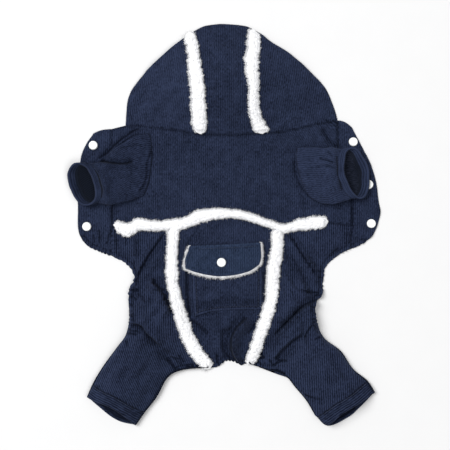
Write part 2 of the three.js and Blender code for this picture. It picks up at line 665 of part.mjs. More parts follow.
addPiece("hood_centre", hoodPanel(NECK_CENTRE, HOOD_TOP_CENTRE, HOOD_SEAM_LEFT, HOOD_SEAM_RIGHT, 6), NAVY);
addPiece("hood_side_left", hoodPanel(NECK_LEFT, HOOD_TOP_LEFT, HOOD_EDGE_LEFT, HOOD_SEAM_LEFT, 8), NAVY);
addPiece("hood_side_right", hoodPanel(NECK_RIGHT, HOOD_TOP_RIGHT, HOOD_SEAM_RIGHT, HOOD_EDGE_RIGHT, 8), NAVY);
addPiece("yoke", yoke(), NAVY);
addPiece(
  "belly_band_left",
  bellyBand(
    {
      start: curve(BAND_TOP_LEFT),
      end: curve(BAND_FOOT_LEFT),
      left: curve(BAND_EDGE_LEFT),
      right: curve(BAND_SEAM_LEFT, BAND_HEM_LEFT),
    },
    ["snap_left_top", "snap_left_middle", "snap_left_bottom"],
  ),
  NAVY,
);
addPiece(
  "belly_band_right",
  bellyBand(
    {
      start: curve(BAND_TOP_RIGHT),
      end: curve(BAND_FOOT_RIGHT),
      left: curve(BAND_SEAM_RIGHT, BAND_HEM_RIGHT),
      right: curve(BAND_EDGE_RIGHT),
    },
    ["snap_right_top", "snap_right_middle", "snap_right_bottom"],
  ),
  NAVY,
);
addPiece("back_panel", backPanel(), NAVY);
addPiece(
  "leg_left",
  hipAndLeg({
    waist: WAIST_LEFT,
    outer: [BAND_HEM_LEFT, LEG_OUTER_LEFT],
    inner: [BACK_SEAM_LEFT, LEG_INNER_LEFT],
    cuff: CUFF_TOP_LEFT,
    lip: CUFF_LIP_LEFT,
  }),
  NAVY,
);
addPiece(
  "leg_right",
  hipAndLeg({
    waist: WAIST_RIGHT.toReversed(),
    outer: [BAND_HEM_RIGHT, LEG_OUTER_RIGHT],
    inner: [BACK_SEAM_RIGHT, LEG_INNER_RIGHT],
    cuff: CUFF_TOP_RIGHT,
    lip: CUFF_LIP_RIGHT,
  }),
  NAVY,
);
addPiece("sleeve_left", sleeve(SLEEVE_LEFT, -1), NAVY);
addPiece("sleeve_right", sleeve(SLEEVE_RIGHT, 1), NAVY);

addPiece(
  "trim_hood_left",
  trim(stripAlong(curve(HOOD_SEAM_LEFT), HOOD_TRIM_WIDTHS_LEFT, FULL_SPAN), 12),
  WHITE_FLEECE,
);
addPiece(
  "trim_hood_right",
  trim(stripAlong(curve(HOOD_SEAM_RIGHT), HOOD_TRIM_WIDTHS_RIGHT, FULL_SPAN), 12),
  WHITE_FLEECE,
);
addPiece(
  "trim_yoke",
  trim(stripAlong(curve(WAIST_LEFT, WAIST_CENTRE, WAIST_RIGHT), YOKE_TRIM_WIDTHS, YOKE_TRIM_SPAN), 24),
  WHITE_FLEECE,
);
addPiece(
  "trim_back_left",
  trim(stripAlong(curve(BACK_SEAM_LEFT), BACK_TRIM_WIDTHS_LEFT, BACK_TRIM_SPAN), 16),
  WHITE_FLEECE,
);
addPiece(
  "trim_back_right",
  trim(stripAlong(curve(BACK_SEAM_RIGHT), BACK_TRIM_WIDTHS_RIGHT, BACK_TRIM_SPAN), 16),
  WHITE_FLEECE,
);

const edgingBase = LAY_GAP + POCKET_CLOTH + GAP;
const flapBase = edgingBase + EDGING_PILE + GAP;
addPiece("pocket_pouch", pouch(), NAVY);
addPiece("pocket_flap_edging", flapLayer(FLAP_EDGING, edgingBase, EDGING_PILE), WHITE_FLEECE);
addPiece("pocket_flap", flapLayer(0, flapBase, POCKET_CLOTH), NAVY);

for (const [name, [a, b]] of Object.entries(SNAPS)) {
  addPiece(name, snap(CLOTH), WHITE_PLASTIC).position.set(...place(a, b), height(a, b) + GAP);
}
const pocketSnap = addPiece("pocket_snap", snap(POCKET_CLOTH + EDGING_PILE), WHITE_PLASTIC);
pocketSnap.position.set(...place(...POCKET_SNAP), height(...POCKET_SNAP) + flapBase + POCKET_CLOTH + 2 * GAP);

// The origin is the middle of the footprint, on the floor
const box = new THREE.Box3().setFromObject(jumpsuit, true);
const footprint = box.getCenter(new THREE.Vector3());
footprint.z = box.min.z;
jumpsuit.children.forEach((piece) => piece.position.sub(footprint));

export default jumpsuit;
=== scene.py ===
"""Visual model of a corduroy dog jumpsuit that lies flat with its back up."""
import json
import math

import bpy
import numpy as np
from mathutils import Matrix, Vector

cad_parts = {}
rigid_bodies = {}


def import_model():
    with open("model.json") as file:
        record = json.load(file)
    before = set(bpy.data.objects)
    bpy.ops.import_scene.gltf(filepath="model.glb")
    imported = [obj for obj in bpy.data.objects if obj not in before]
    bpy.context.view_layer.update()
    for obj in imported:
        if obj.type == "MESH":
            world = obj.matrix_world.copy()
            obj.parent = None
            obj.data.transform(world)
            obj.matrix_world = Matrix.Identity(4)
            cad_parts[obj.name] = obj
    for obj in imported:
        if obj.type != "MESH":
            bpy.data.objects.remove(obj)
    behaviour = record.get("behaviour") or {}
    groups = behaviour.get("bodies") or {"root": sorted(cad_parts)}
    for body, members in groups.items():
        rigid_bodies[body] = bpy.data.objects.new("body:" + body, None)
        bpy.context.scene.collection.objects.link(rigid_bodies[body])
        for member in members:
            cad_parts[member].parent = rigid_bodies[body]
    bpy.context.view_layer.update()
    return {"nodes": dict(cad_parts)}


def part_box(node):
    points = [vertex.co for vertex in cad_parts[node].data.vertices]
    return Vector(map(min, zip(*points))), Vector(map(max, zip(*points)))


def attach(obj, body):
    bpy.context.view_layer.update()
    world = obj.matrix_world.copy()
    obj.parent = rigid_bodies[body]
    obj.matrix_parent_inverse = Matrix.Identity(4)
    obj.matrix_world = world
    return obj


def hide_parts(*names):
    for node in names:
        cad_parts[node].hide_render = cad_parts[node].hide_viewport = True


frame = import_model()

# Where the chart lies: two snaps and their places on its grid, across and along
POCKET_SNAP = (-0.06, -2.54)
CORNER_SNAP = (-2.62, -0.21)

# Cloth, in metres
CLOTH = 0.002
SHEET_THICKNESS = 0.9 * CLOTH
LOWEST_TOP = 0.7 * CLOTH
LOWEST_GATHER = 0.6 * CLOTH
FLOOR_CLEARANCE = 0.0001
EDGE_BULGE = 0.42
WALE_PITCH = 0.0026
CRUMPLE = 0.0005
LAY_GAP = 0.0009
GAP = 0.0003

# Mesh cells, in metres, and points along a straight line and along each step of a smooth one
MESH_CELL = 0.0015
FINE_CELL = 0.0012
STRAIGHT_POINTS = 40
CURVE_POINTS = 24

# Seams, elastic and hems, in metres
SEAM_DEPTH = 0.0011
SEAM_REACH = 0.0028
SEAM_SHADE = 0.45
GATHER_PITCH = 0.0052
ELASTIC_INSET = 0.0045
ELASTIC_HALF_WIDTH = 0.0011
ELASTIC_DEPTH = 0.0006
HEM_WIDTH = 0.014
HEM_HEIGHT = 0.0007
HEM_STITCH_ROWS = (0.78, 0.55, 0.3)

# Gathers along an elastic edge: reach on the grid, height in metres, seed
PANEL_GATHERS = (0.18, 0.0015, 61)
LEG_OUTER_GATHERS = (0.22, 0.0017, 71)
LEG_INNER_GATHERS = (0.16, 0.0013, 81)

# Lofts, in metres
HOOD_LOFT = 0.019
BACK_LOFT = 0.007
LEG_LOFT = 0.013
FOLD = 0.003
POUCH_LOFT = 0.0025

# Folds: how much the rises beside them are raised and how far they reach, the share of a fold over
# which it fades, and the slot and reach that give full painted shade and the rise that gives a full
# painted highlight, in metres or on the grid
RISE = 2.3
RISE_REACH = 0.75
FADE_SHARE = 0.13
FULL_SLOT = 0.0024
FULL_SOFT_SLOT = 0.003
FULL_REACH = 0.04
FULL_RISE = 0.0018

# Fleece strips, in metres, and the share of a strip's width that its pile fills
PILE = 0.0042
TRIM_WIDTH = 0.018
STRIP_ROW = 0.0011
STRIP_COLUMNS = 19
STRIP_FILL = 0.8
STRIP_SHARES = 160
STRIP_END = 0.0045
STRIP_TAIL = 0.003
LUMP_HEIGHTS = (0.0003, 0.0002)
EDGING_SHARES = 150
EDGING_HEIGHT = 0.0024
EDGING_HALF_WIDTH = 0.0014
EDGING_FOOT_EXTRA = 0.0011

# Loose fibres: how many, the share beside the edges, and lengths and radii in metres
HOOD_FIBRES = 5200
YOKE_FIBRES = 9000
BACK_FIBRES = 6800
EDGING_FIBRES = 2000
EDGE_FIBRES = 0.94
EDGE_SHARE = 0.06
FIBRE_LENGTHS = (0.0009, 0.0019)
FIBRE_RADII = (0.0002, 0.0003)
LOWEST_FIBRE = 0.0004

# Sleeves, in metres, and the rings of their mesh
SLEEVE_HEIGHT = 0.017
ARMHOLE_LENGTH = 0.076
SLEEVE_HEM = 0.009
SLEEVE_RIPPLE = 0.0006
SLEEVE_STEPS = 78
SLEEVE_AROUND = 150

# The legs' lie: where the cloth starts to fold over and is a tube, as shares along them, how far the
# cuff gapes and the hip's edge is ragged on the grid, and the radius of the rolled sides in metres
FOLD_START = 0.36
TUBE_START = 0.6
GAPE_START = 0.8
CUFF_GAPE = 0.045
HIP_RAGGED = 0.008
ROLL_RADIUS = 0.0045
ROLL_SINK = 0.55
OUTER_ELASTIC_SHARE = 0.62

# How much darker the legs are, the place in metres below which their wales slant, and by how much
LEG_SHADE = 0.04
LEG_BEND = -0.13
LEG_BEND_REACH = 0.03
LEG_SLANTS = {"left": -0.52, "right": -0.05}

# The legs' under layers: cells across and along, and the height of their curled sides in metres
UNDER_CELLS = (64, 90)
UNDER_CURL = 0.004

# Pocket and thread, in metres
POCKET_CLOTH = 0.0016
EDGING_LIFT = 0.0022
STITCH_PITCH = 0.0034
STITCH_LENGTH = 0.0027
STITCH_INSET = 0.0036
THREAD_RADIUS = 0.00022
STITCH_RINGS = ((-0.5, 0.35, -0.6), (-0.32, 0.9, 0.2), (0.32, 0.9, 0.2), (0.5, 0.35, -0.6))

# Snaps, in metres, and their profile as shares of the radius and heights over the cloth
SNAP_DIAMETER = 0.0107
SNAP_HEIGHT = 0.0024
SNAP_AROUND = 64
SNAP_PROFILE = [
    (0.0, -0.0008), (0.9, -0.0008), (0.97, -0.0004), (1.0, 0.0002), (1.0, 0.0008), (0.97, 0.0013),
    (0.9, 0.0019), (0.82, 0.00228), (0.74, 0.0024), (0.67, 0.00234), (0.6, 0.00212), (0.52, 0.0019),
    (0.4, 0.0018), (0.2, 0.00176), (0.12, 0.0018), (0.0, 0.00182),
]

# Colours, darker and lighter
NAVY_COLOURS = ((0.0022, 0.004, 0.011), (0.0245, 0.0345, 0.073))
FLAP_COLOURS = ((0.0045, 0.009, 0.021), (0.027, 0.042, 0.086))
INSIDE_COLOURS = ((0.004, 0.006, 0.012), (0.022, 0.026, 0.046))
FLEECE_COLOURS = ((0.78, 0.785, 0.81), (0.86, 0.86, 0.868))
PLASTIC_COLOURS = ((0.87, 0.885, 0.88), (0.93, 0.945, 0.94))
THREAD_COLOURS = ((0.008, 0.012, 0.028), (0.03, 0.042, 0.09))
FLOOR_COLOURS = ((0.742, 0.742, 0.745), (0.762, 0.762, 0.764))

# How much each pattern lightens or darkens corduroy: wales, dashes of pile, patches, broad, nap
TONE_SHARES = (0.3, 2.2, 0.85, 0.35, 1.0)
MIDDLE_TONE = 0.5
# How much the painted shade and painted highlights darken and lighten the corduroy
PAINTED_SHADING_SHARE = 0.75
LEG_WALES = 2.6
INSIDE_WALES = 0.4

# Light: the sky's strength, and each lamp's place, size and power in watts
SKY_STRENGTH = 0.4
LAMPS = {"key": ((-2.2, 1.3, 3.2), 2.8, 163), "fill": ((1.6, -1.2, 3.4), 2.4, 46)}

# Floor and camera, in metres, and the lens in millimetres
FLOOR_REACH = 4.0
CAMERA_PLACE = (0.0011, -0.0006, 1.275)
CAMERA_LENS = 85
CAMERA_SENSOR = 36

# Border lines on the chart's grid, across and along
NECK_LEFT = [(-1.97, 0.18), (-1.63, 0.17), (-1.19, 0.12), (-0.85, 0.07), (-0.49, 0.01)]
NECK_CENTRE = [(-0.49, 0.01), (0.05, -0.01), (0.55, 0.01), (0.75, 0.03)]
NECK_RIGHT = [(0.75, 0.03), (0.97, 0.04), (1.35, 0.1), (1.71, 0.18), (2.05, 0.25), (2.25, 0.28)]
HOOD_EDGE_LEFT = [(-1.97, 0.18), (-1.95, 0.4), (-1.93, 0.64), (-1.87, 0.84), (-1.54, 1.28)]
HOOD_EDGE_RIGHT = [(2.25, 0.28), (2.19, 0.5), (2.11, 0.7), (2.01, 0.92), (1.55, 1.4)]
HOOD_TOP_LEFT = [(-1.54, 1.28), (-1.29, 1.52), (-1.03, 1.75), (-0.7, 2)]
HOOD_TOP_CENTRE = [(-0.7, 2), (-0.43, 2.15), (-0.23, 2.19), (0.05, 2.2), (0.45, 2.15), (0.58, 2.08)]
HOOD_TOP_RIGHT = [(0.58, 2.08), (0.73, 2), (0.91, 1.85), (1.25, 1.64), (1.55, 1.4)]
HOOD_SEAM_LEFT = [(-0.49, 0.01), (-0.51, 0.64), (-0.54, 1), (-0.59, 1.38), (-0.63, 1.7), (-0.7, 2)]
HOOD_SEAM_RIGHT = [(0.75, 0.03), (0.66, 0.24), (0.59, 0.54), (0.55, 1.16), (0.53, 1.4), (0.58, 2.08)]
BAND_SEAM_LEFT = [(-2.25, 0.11), (-2.25, -0.9), (-2.25, -1.86)]
BAND_HEM_LEFT = [(-2.25, -1.86), (-2.25, -2.14), (-2.23, -2.42)]
BAND_SEAM_RIGHT = [(2.27, 0.28), (2.28, -0.22), (2.41, -0.8), (2.55, -1.38), (2.55, -1.82)]
BAND_HEM_RIGHT = [(2.55, -1.82), (2.52, -2.04), (2.49, -2.28)]
BAND_EDGE_LEFT = [
    (-2.61, 0.02), (-2.75, -0.18), (-2.85, -0.42), (-2.91, -0.9), (-2.92, -1.44), (-2.9, -1.94),
    (-2.83, -2.1),
]
BAND_EDGE_RIGHT = [
    (2.53, 0.15), (2.67, -0.12), (2.87, -0.5), (2.99, -0.82), (3.07, -1.32), (3.1, -1.58), (2.95, -2),
    (2.79, -2.14),
]
BAND_TOP_LEFT = [(-2.61, 0.02), (-2.47, 0.08), (-2.25, 0.11)]
BAND_TOP_RIGHT = [(2.27, 0.28), (2.39, 0.25), (2.53, 0.15)]
BAND_FOOT_LEFT = [(-2.83, -2.1), (-2.71, -2.22), (-2.49, -2.32), (-2.23, -2.42)]
BAND_FOOT_RIGHT = [(2.49, -2.28), (2.65, -2.22), (2.79, -2.14)]
WAIST_LEFT = [(-2.25, -1.86), (-1.77, -1.84), (-1.29, -1.82), (-1.01, -1.8)]
WAIST_CENTRE = [
    (-1.01, -1.8), (-0.79, -1.75), (-0.49, -1.63), (-0.09, -1.57), (0.21, -1.58), (0.49, -1.64),
    (0.73, -1.72), (1.05, -1.83),
]
WAIST_RIGHT = [(1.05, -1.83), (1.19, -1.87), (1.51, -1.8), (2.03, -1.76), (2.55, -1.82)]
BACK_SEAM_LEFT = [
    (-1.01, -1.8), (-1.04, -2.2), (-1.04, -2.92), (-0.97, -3.24), (-0.81, -3.8), (-0.61, -4.26),
    (-0.31, -4.64),
]
BACK_SEAM_RIGHT = [
    (1.05, -1.83), (1.05, -2.2), (0.97, -2.7), (0.92, -3.3), (0.73, -3.92), (0.56, -4.4), (0.48, -4.55),
]
TAIL_EDGE = [(-0.31, -4.64), (-0.15, -4.62), (0.03, -4.5), (0.21, -4.52), (0.31, -4.58), (0.48, -4.55)]
LEG_OUTER_LEFT = [
    (-2.23, -2.42), (-1.97, -2.56), (-1.84, -2.7), (-1.79, -2.88), (-1.89, -3.08), (-1.89, -3.68),
    (-1.96, -4), (-2.14, -4.25), (-2.41, -4.62), (-2.61, -4.95), (-2.73, -5.22),
]
LEG_OUTER_RIGHT = [
    (2.49, -2.28), (2.29, -2.38), (2.01, -2.64), (1.97, -2.88), (1.93, -3.2), (1.81, -3.35),
    (1.85, -3.8), (1.98, -4.06), (2.31, -4.32), (2.56, -4.68), (2.85, -4.92), (2.99, -5.13),
]
LEG_INNER_LEFT = [
    (-0.31, -4.64), (-0.71, -4.66), (-1.01, -4.74), (-1.17, -4.88), (-1.34, -5.2), (-1.61, -5.55),
    (-1.77, -5.78),
]
LEG_INNER_RIGHT = [
    (0.48, -4.55), (0.83, -4.66), (1.06, -4.71), (1.23, -4.8), (1.41, -5.02), (1.63, -5.28),
    (1.81, -5.58),
]
CUFF_TOP_LEFT = [(-2.73, -5.22), (-2.59, -5.3), (-2.27, -5.44), (-2.01, -5.6), (-1.77, -5.78)]
CUFF_TOP_RIGHT = [(2.99, -5.13), (2.61, -5.4), (2.29, -5.6), (2.06, -5.78), (1.81, -5.58)]
CUFF_LIP_LEFT = [(-2.73, -5.22), (-2.47, -5.45), (-2.29, -5.6), (-2.07, -5.72), (-1.77, -5.78)]
CUFF_LIP_RIGHT = [(2.99, -5.13), (2.65, -5.48), (2.51, -5.6), (2.06, -5.8), (1.81, -5.58)]
POUCH_TOP = [(-0.62, -2.54), (0.06, -2.54), (0.73, -2.54)]
POUCH_FOOT = [(-0.59, -3.61), (-0.29, -3.52), (0.09, -3.48), (0.73, -3.47)]
POUCH_LEFT = [(-0.62, -2.54), (-0.63, -2.8), (-0.59, -3.61)]
POUCH_RIGHT = [(0.73, -2.54), (0.74, -2.84), (0.73, -3.47)]
FLAP_TOP = [(-0.69, -2.22), (0.25, -2.18), (0.71, -2.15)]
FLAP_LEFT = [(-0.69, -2.22), (-0.78, -2.52), (-0.77, -2.66)]
FLAP_RIGHT = [(0.71, -2.15), (0.72, -2.42), (0.69, -2.58)]
FLAP_FOOT = [(-0.77, -2.66), (-0.54, -2.74), (-0.07, -2.81), (0.46, -2.72), (0.69, -2.58)]
FLAP_MIDDLE = (0, -2.2)

# Where the cloth lofts over the floor: middle, reach across and along, height
SWELLS = [(0.08, 1.05, 2.15, 1.25, HOOD_LOFT), (0, -3.1, 1.9, 1.75, BACK_LOFT)]

# Crumpled places: middle, reach and height of the cloth's waves
CRUMPLED = [
    (-1.6, -3.3, 0.7, 1.6, 0.0014), (1.6, -3.3, 0.7, 1.6, 0.0014), (0.05, -4.1, 0.75, 0.7, 0.0012),
    (-2.2, -0.7, 0.9, 0.8, 0.0008), (2.1, -0.4, 0.9, 0.8, 0.0008), (-1.9, -4.9, 0.8, 0.7, 0.0008),
    (2.1, -4.9, 0.8, 0.7, 0.0008), (-1.3, 0.7, 0.8, 0.7, 0.0006), (1.4, 0.7, 0.8, 0.7, 0.0006),
]

# Main folds: from, to, reach, height
MAIN_FOLDS = [
    (-1.5, -3.8, -2.28, -5.5, 0.9, LEG_LOFT),
    (1.5, -3.8, 2.42, -5.5, 0.95, LEG_LOFT),
    (-1.45, -2.95, -1.45, -3.6, 0.62, 0.8 * FOLD),
    (1.47, -2.95, 1.47, -3.6, 0.62, 0.8 * FOLD),
    (-1.32, -2.3, -1.62, -2.75, 0.2, 0.6 * FOLD),
    (-1.78, -3.7, -1.48, -4.05, 0.16, -0.8 * FOLD),
    (-1.3, -3.1, -1.1, -3.4, 0.2, 0.5 * FOLD),
    (-1.2, -4.4, -1.1, -4.6, 0.16, -0.6 * FOLD),
    (1.42, -2.3, 1.75, -2.8, 0.2, 0.8 * FOLD),
    (1.72, -3.3, 1.25, -3.8, 0.17, -FOLD),
    (1.6, -3.85, 1.1, -4.4, 0.16, -0.8 * FOLD),
    (0.42, -3.75, 0.13, -4.18, 0.2, FOLD),
    (0.13, -4.18, 0.15, -4.4, 0.16, 0.8 * FOLD),
    (-0.6, -3.75, -0.4, -3.9, 0.16, 0.4 * FOLD),
    (2.25, -0.22, 2.35, -0.22, 0.16, 0.7 * FOLD),
]

# Folds that the main ones leave out: the line, the slot's depth and reach, and how far the cloth
# rises on the line's left and right and over what reach
FOLDS = [
    # Left hip and leg
    ([(-1.19, -1.94), (-1.34, -2.16), (-1.54, -2.45), (-1.69, -2.74), (-1.79, -3.02)],
     0.0022, 0.026, 0, 0.0018, 0.2),
    ([(-1.81, -2.5), (-1.78, -2.68), (-1.76, -2.9)], 0.0018, 0.028, 0, 0, 0.1),
    ([(-1.72, -2), (-1.75, -2.5)], 0.0014, 0.1, 0, 0.0008, 0.2),
    ([(-1.46, -2.8), (-1.38, -2.95), (-1.24, -3.11), (-1.14, -3.32), (-1.04, -3.56)],
     0.0042, 0.042, -0.001, 0.003, 0.34),
    ([(-1.76, -3.17), (-1.61, -3.25), (-1.54, -3.36)], 0.0018, 0.028, 0.0006, 0, 0.1),
    ([(-1.9, -3.8), (-1.73, -3.78), (-1.65, -3.82), (-1.55, -3.95), (-1.42, -4.08), (-1.28, -4.25)],
     0.0055, 0.04, 0.0024, -0.0004, 0.22),
    ([(-1.87, -3.56), (-1.75, -3.73)], 0.0022, 0.028, 0.0006, 0, 0.1),
    ([(-1.5, -4), (-1.22, -4.26), (-1.06, -4.42)], 0.0018, 0.09, 0.0006, 0, 0.2),
    ([(-1.2, -4.44), (-1.04, -4.59), (-0.95, -4.72)], 0.0024, 0.034, 0, 0.0012, 0.12),
    ([(-1.1, -4.42), (-0.89, -4.49), (-0.86, -4.66)], 0.0018, 0.03, 0.0008, 0.0006, 0.1),
    ([(-1.95, -4.06), (-1.92, -4.25)], 0.0015, 0.03, 0, 0, 0.1),
    ([(-1.7, -4.5), (-2, -4.8), (-2.1, -5.1)], 0.0009, 0.12, 0, 0.0005, 0.3),
    ([(-1.5, -4.04), (-1.3, -4.3), (-1.04, -4.56)], 0.002, 0.12, 0, 0, 0.26),
    # Right hip and leg
    ([(1.23, -1.93), (1.43, -2.18), (1.63, -2.52), (1.87, -2.84)], 0.0044, 0.036, 0.002, 0.0004, 0.18),
    ([(1.3, -2.36), (1.48, -2.68), (1.64, -3)], 0.0022, 0.07, 0.0006, -0.0005, 0.2),
    ([(1.5, -3.1), (1.94, -3.17)], 0.004, 0.034, 0, 0.001, 0.1),
    ([(1.94, -3.26), (1.63, -3.38), (1.5, -3.47), (1.33, -3.64), (1.08, -3.9), (0.94, -4.08)],
     0.005, 0.042, 0.0028, -0.001, 0.24),
    ([(1.75, -3.74), (1.63, -3.94), (1.57, -4.07)], 0.0019, 0.03, 0, 0.0008, 0.12),
    ([(1.62, -3.92), (1.35, -4.12), (1.16, -4.31), (0.98, -4.54)], 0.0036, 0.06, 0, 0.0014, 0.18),
    ([(0.98, -4.62), (1.03, -4.57), (1.1, -4.52), (1.26, -4.49)], 0.0042, 0.044, 0.0008, 0.0008, 0.12),
    ([(1.02, -4.68), (1.24, -4.79)], 0.0026, 0.032, 0, 0, 0.1),
    ([(1.52, -3.52), (1.2, -3.86), (0.92, -4.14), (0.8, -4.3)], 0.0026, 0.13, 0, 0, 0.3),
    ([(1.24, -2.2), (1.34, -2.6), (1.5, -2.96)], 0.002, 0.12, 0, 0, 0.26),
    ([(1.42, -4.16), (1.2, -4.4), (1.02, -4.56)], 0.0024, 0.11, 0, 0, 0.26),
    ([(1.78, -4.06), (1.96, -4.0)], 0.002, 0.03, 0, 0, 0.08),
    ([(1.54, -5.14), (1.76, -5.23), (2, -5.26)], 0.0018, 0.032, 0.0004, 0.0006, 0.1),
    ([(2.3, -2.24), (2.1, -2.4)], 0.0015, 0.03, 0, 0, 0.1),
    ([(2.1, -4.3), (2.2, -4.7), (2.1, -5)], 0.0009, 0.12, 0.0004, 0, 0.3),
    # Back
    ([(0.5, -3.6), (0.36, -3.7), (0.25, -3.82), (0.16, -3.98), (0.12, -4.16), (0.14, -4.32), (0.22, -4.5),
      (0.34, -4.62)], 0.0048, 0.04, 0.004, -0.0012, 0.3),
    ([(0.2, -3.84), (0.05, -4.06), (0.04, -4.34), (0.12, -4.52)], 0.004, 0.1, 0, -0.0004, 0.24),
    ([(0.02, -4.36), (0.1, -4.46), (0.24, -4.54)], 0.003, 0.05, 0, 0, 0.1),
    ([(-0.74, -2.6), (-0.74, -3.1), (-0.68, -3.75)], 0.003, 0.055, 0, 0, 0.12),
    ([(0.8, -2.7), (0.8, -3.4)], 0.0014, 0.05, 0, 0, 0.1),
    ([(-0.62, -3.64), (-0.3, -3.58), (0.1, -3.54)], 0.0008, 0.03, 0, 0.0005, 0.1),
    ([(-0.7, -3.66), (-0.47, -3.84), (-0.28, -3.99)], 0.0022, 0.06, 0, 0, 0.16),
    ([(0.01, -3.84), (0, -4.34)], 0.0018, 0.1, 0, 0, 0.2),
    ([(0.63, -3.75), (0.45, -3.99)], 0.0014, 0.04, 0, 0, 0.1),
    ([(-0.48, -1.78), (-0.62, -2), (-0.78, -2.26)], 0.0011, 0.06, 0, 0.0004, 0.14),
    ([(-0.16, -4.36), (-0.12, -4.62)], 0.0018, 0.04, 0, 0.0008, 0.1),
    # Yoke and bands
    ([(-2.56, -0.5), (-2.4, -0.4), (-2.14, -0.16), (-1.88, 0.04), (-1.66, 0.16)],
     0.0034, 0.034, 0.0002, 0.0018, 0.16),
    ([(-1.43, -0.2), (-1.52, -0.4), (-1.55, -0.62), (-1.54, -0.8)], 0.0014, 0.03, 0, 0.0004, 0.1),
    ([(1.38, -0.3), (1.8, -0.28), (2.3, -0.27)], 0.0018, 0.04, 0, 0, 0.08),
    ([(1.4, -0.32), (1.4, -0.7), (1.52, -1.02), (1.74, -1.26), (2.1, -1.38)], 0.0012, 0.04, 0, 0, 0.08),
    ([(2.02, 0.32), (2.08, 0.25), (2.24, 0.28)], 0.0016, 0.03, 0.0006, 0, 0.1),
    ([(1.93, 0.2), (2.05, -0.06), (2.15, -0.16), (2.27, -0.28)], 0.0026, 0.06, 0.001, -0.0006, 0.16),
    ([(2.27, 0.12), (2.27, -0.28)], 0.0018, 0.035, 0.0006, 0, 0.1),
    ([(-2.25, -1.36), (-2.25, -1.8), (-2.27, -2.1)], 0.0024, 0.032, 0.0008, 0, 0.12),
    ([(2.54, -1.36), (2.54, -1.8), (2.48, -2.26)], 0.0026, 0.03, 0.0005, 0.0005, 0.12),
    ([(-2.5, -1.88), (-2.49, -2.22)], 0.0017, 0.03, 0.0006, 0.0004, 0.1),
    ([(-2.29, -1.92), (-2.35, -2.22)], 0.0019, 0.032, 0.0006, 0.0004, 0.1),
    ([(-1.99, -2), (-1.95, -2.24)], 0.0017, 0.032, 0.0006, 0.0004, 0.1),
    ([(-2.62, -1.98), (-2.6, -2.18)], 0.0014, 0.028, 0, 0.0004, 0.1),
    ([(-2.14, -2.06), (-2.16, -2.28)], 0.0014, 0.028, 0, 0.0004, 0.1),
    ([(-1.5, -0.98), (-1.34, -1.3), (-1.3, -1.56)], 0.0009, 0.08, 0.0004, 0, 0.2),
    ([(1.5, -1.1), (1.6, -1.4), (1.58, -1.7)], 0.0009, 0.08, 0, 0.0004, 0.2),
    ([(-1.2, -0.1), (-0.7, -0.35), (-0.2, -0.75)], 0.0006, 0.12, 0, 0.0004, 0.3),
    ([(0.9, -0.1), (0.6, -0.6), (0.5, -1.2)], 0.0006, 0.12, 0.0004, 0, 0.3),
    # Hood
    ([(-0.38, 0.88), (-0.1, 0.92)], 0.0009, 0.04, 0.0003, 0, 0.1),
    ([(-1.5, 0.9), (-1.1, 0.6), (-0.8, 0.2)], 0.0006, 0.14, 0, 0.0006, 0.3),
    ([(1.9, 0.7), (1.4, 0.45), (1, 0.15)], 0.0006, 0.14, 0.0006, 0, 0.3),
    ([(1.1, 0.06), (1.3, 0.26), (1.7, 0.36)], 0.0008, 0.08, 0.0004, 0, 0.2),
    ([(-1.8, 0.25), (-1.4, 0.4), (-1, 0.3)], 0.0006, 0.1, 0, 0.0004, 0.2),
]

# Small tucks beside the elastic of the hips and the crotch
TUCKS = [
    [(-1.92, -3.12), (-1.77, -3.09), (-1.68, -3.15)],
    [(-1.93, -3.22), (-1.79, -3.25), (-1.73, -3.31)],
    [(-1.94, -3.36), (-1.81, -3.39)],
    [(-1.95, -3.6), (-1.79, -3.56)],
    [(-1.97, -3.85), (-1.81, -3.89), (-1.7, -3.89)],
    [(-1.98, -3.96), (-1.81, -3.95), (-1.71, -3.98)],
    [(-1.01, -4.43), (-0.89, -4.6)],
    [(-0.93, -4.38), (-0.79, -4.56)],
    [(1.86, -2.84), (2.0, -2.88)],
    [(1.78, -3.21), (1.94, -3.2)],
    [(1.69, -3.4), (1.84, -3.46)],
    [(1.74, -3.54), (1.88, -3.58)],
    [(1.75, -3.65), (1.9, -3.69)],
    [(0.66, -4.5), (0.78, -4.64)],
    [(0.88, -4.46), (0.99, -4.63)],
]
TUCK_SHAPE = (0.0024, 0.028, 0.0008, 0.0004, 0.08)
FOLDS += [(line, *TUCK_SHAPE) for line in TUCKS]

# Folds of the sleeves, in the same form
SLEEVE_FOLDS = [
    ([(-2.84, -0.54), (-2.54, -0.52), (-2.24, -0.57), (-1.99, -0.58), (-1.76, -0.52)],
     0.0044, 0.034, -0.0014, 0.0012, 0.16),
    ([(-1.42, -0.22), (-1.5, -0.44), (-1.55, -0.62), (-1.55, -0.84), (-1.64, -1.06), (-1.76, -1.22)],
     0.0014, 0.034, 0.0004, 0.0004, 0.1),
    ([(-2.1, -0.3), (-1.9, -0.24), (-1.7, -0.2)], 0.0007, 0.04, 0, 0.0004, 0.1),
    ([(1.86, -0.48), (2.02, -0.52), (2.18, -0.58)], 0.0018, 0.04, 0.0006, 0.0004, 0.12),
    ([(1.78, -0.66), (2.02, -0.63), (2.24, -0.71)], 0.0013, 0.034, 0.0006, 0, 0.1),
    ([(2.02, -0.34), (2.16, -0.46)], 0.0012, 0.05, 0.0004, 0, 0.12),
]

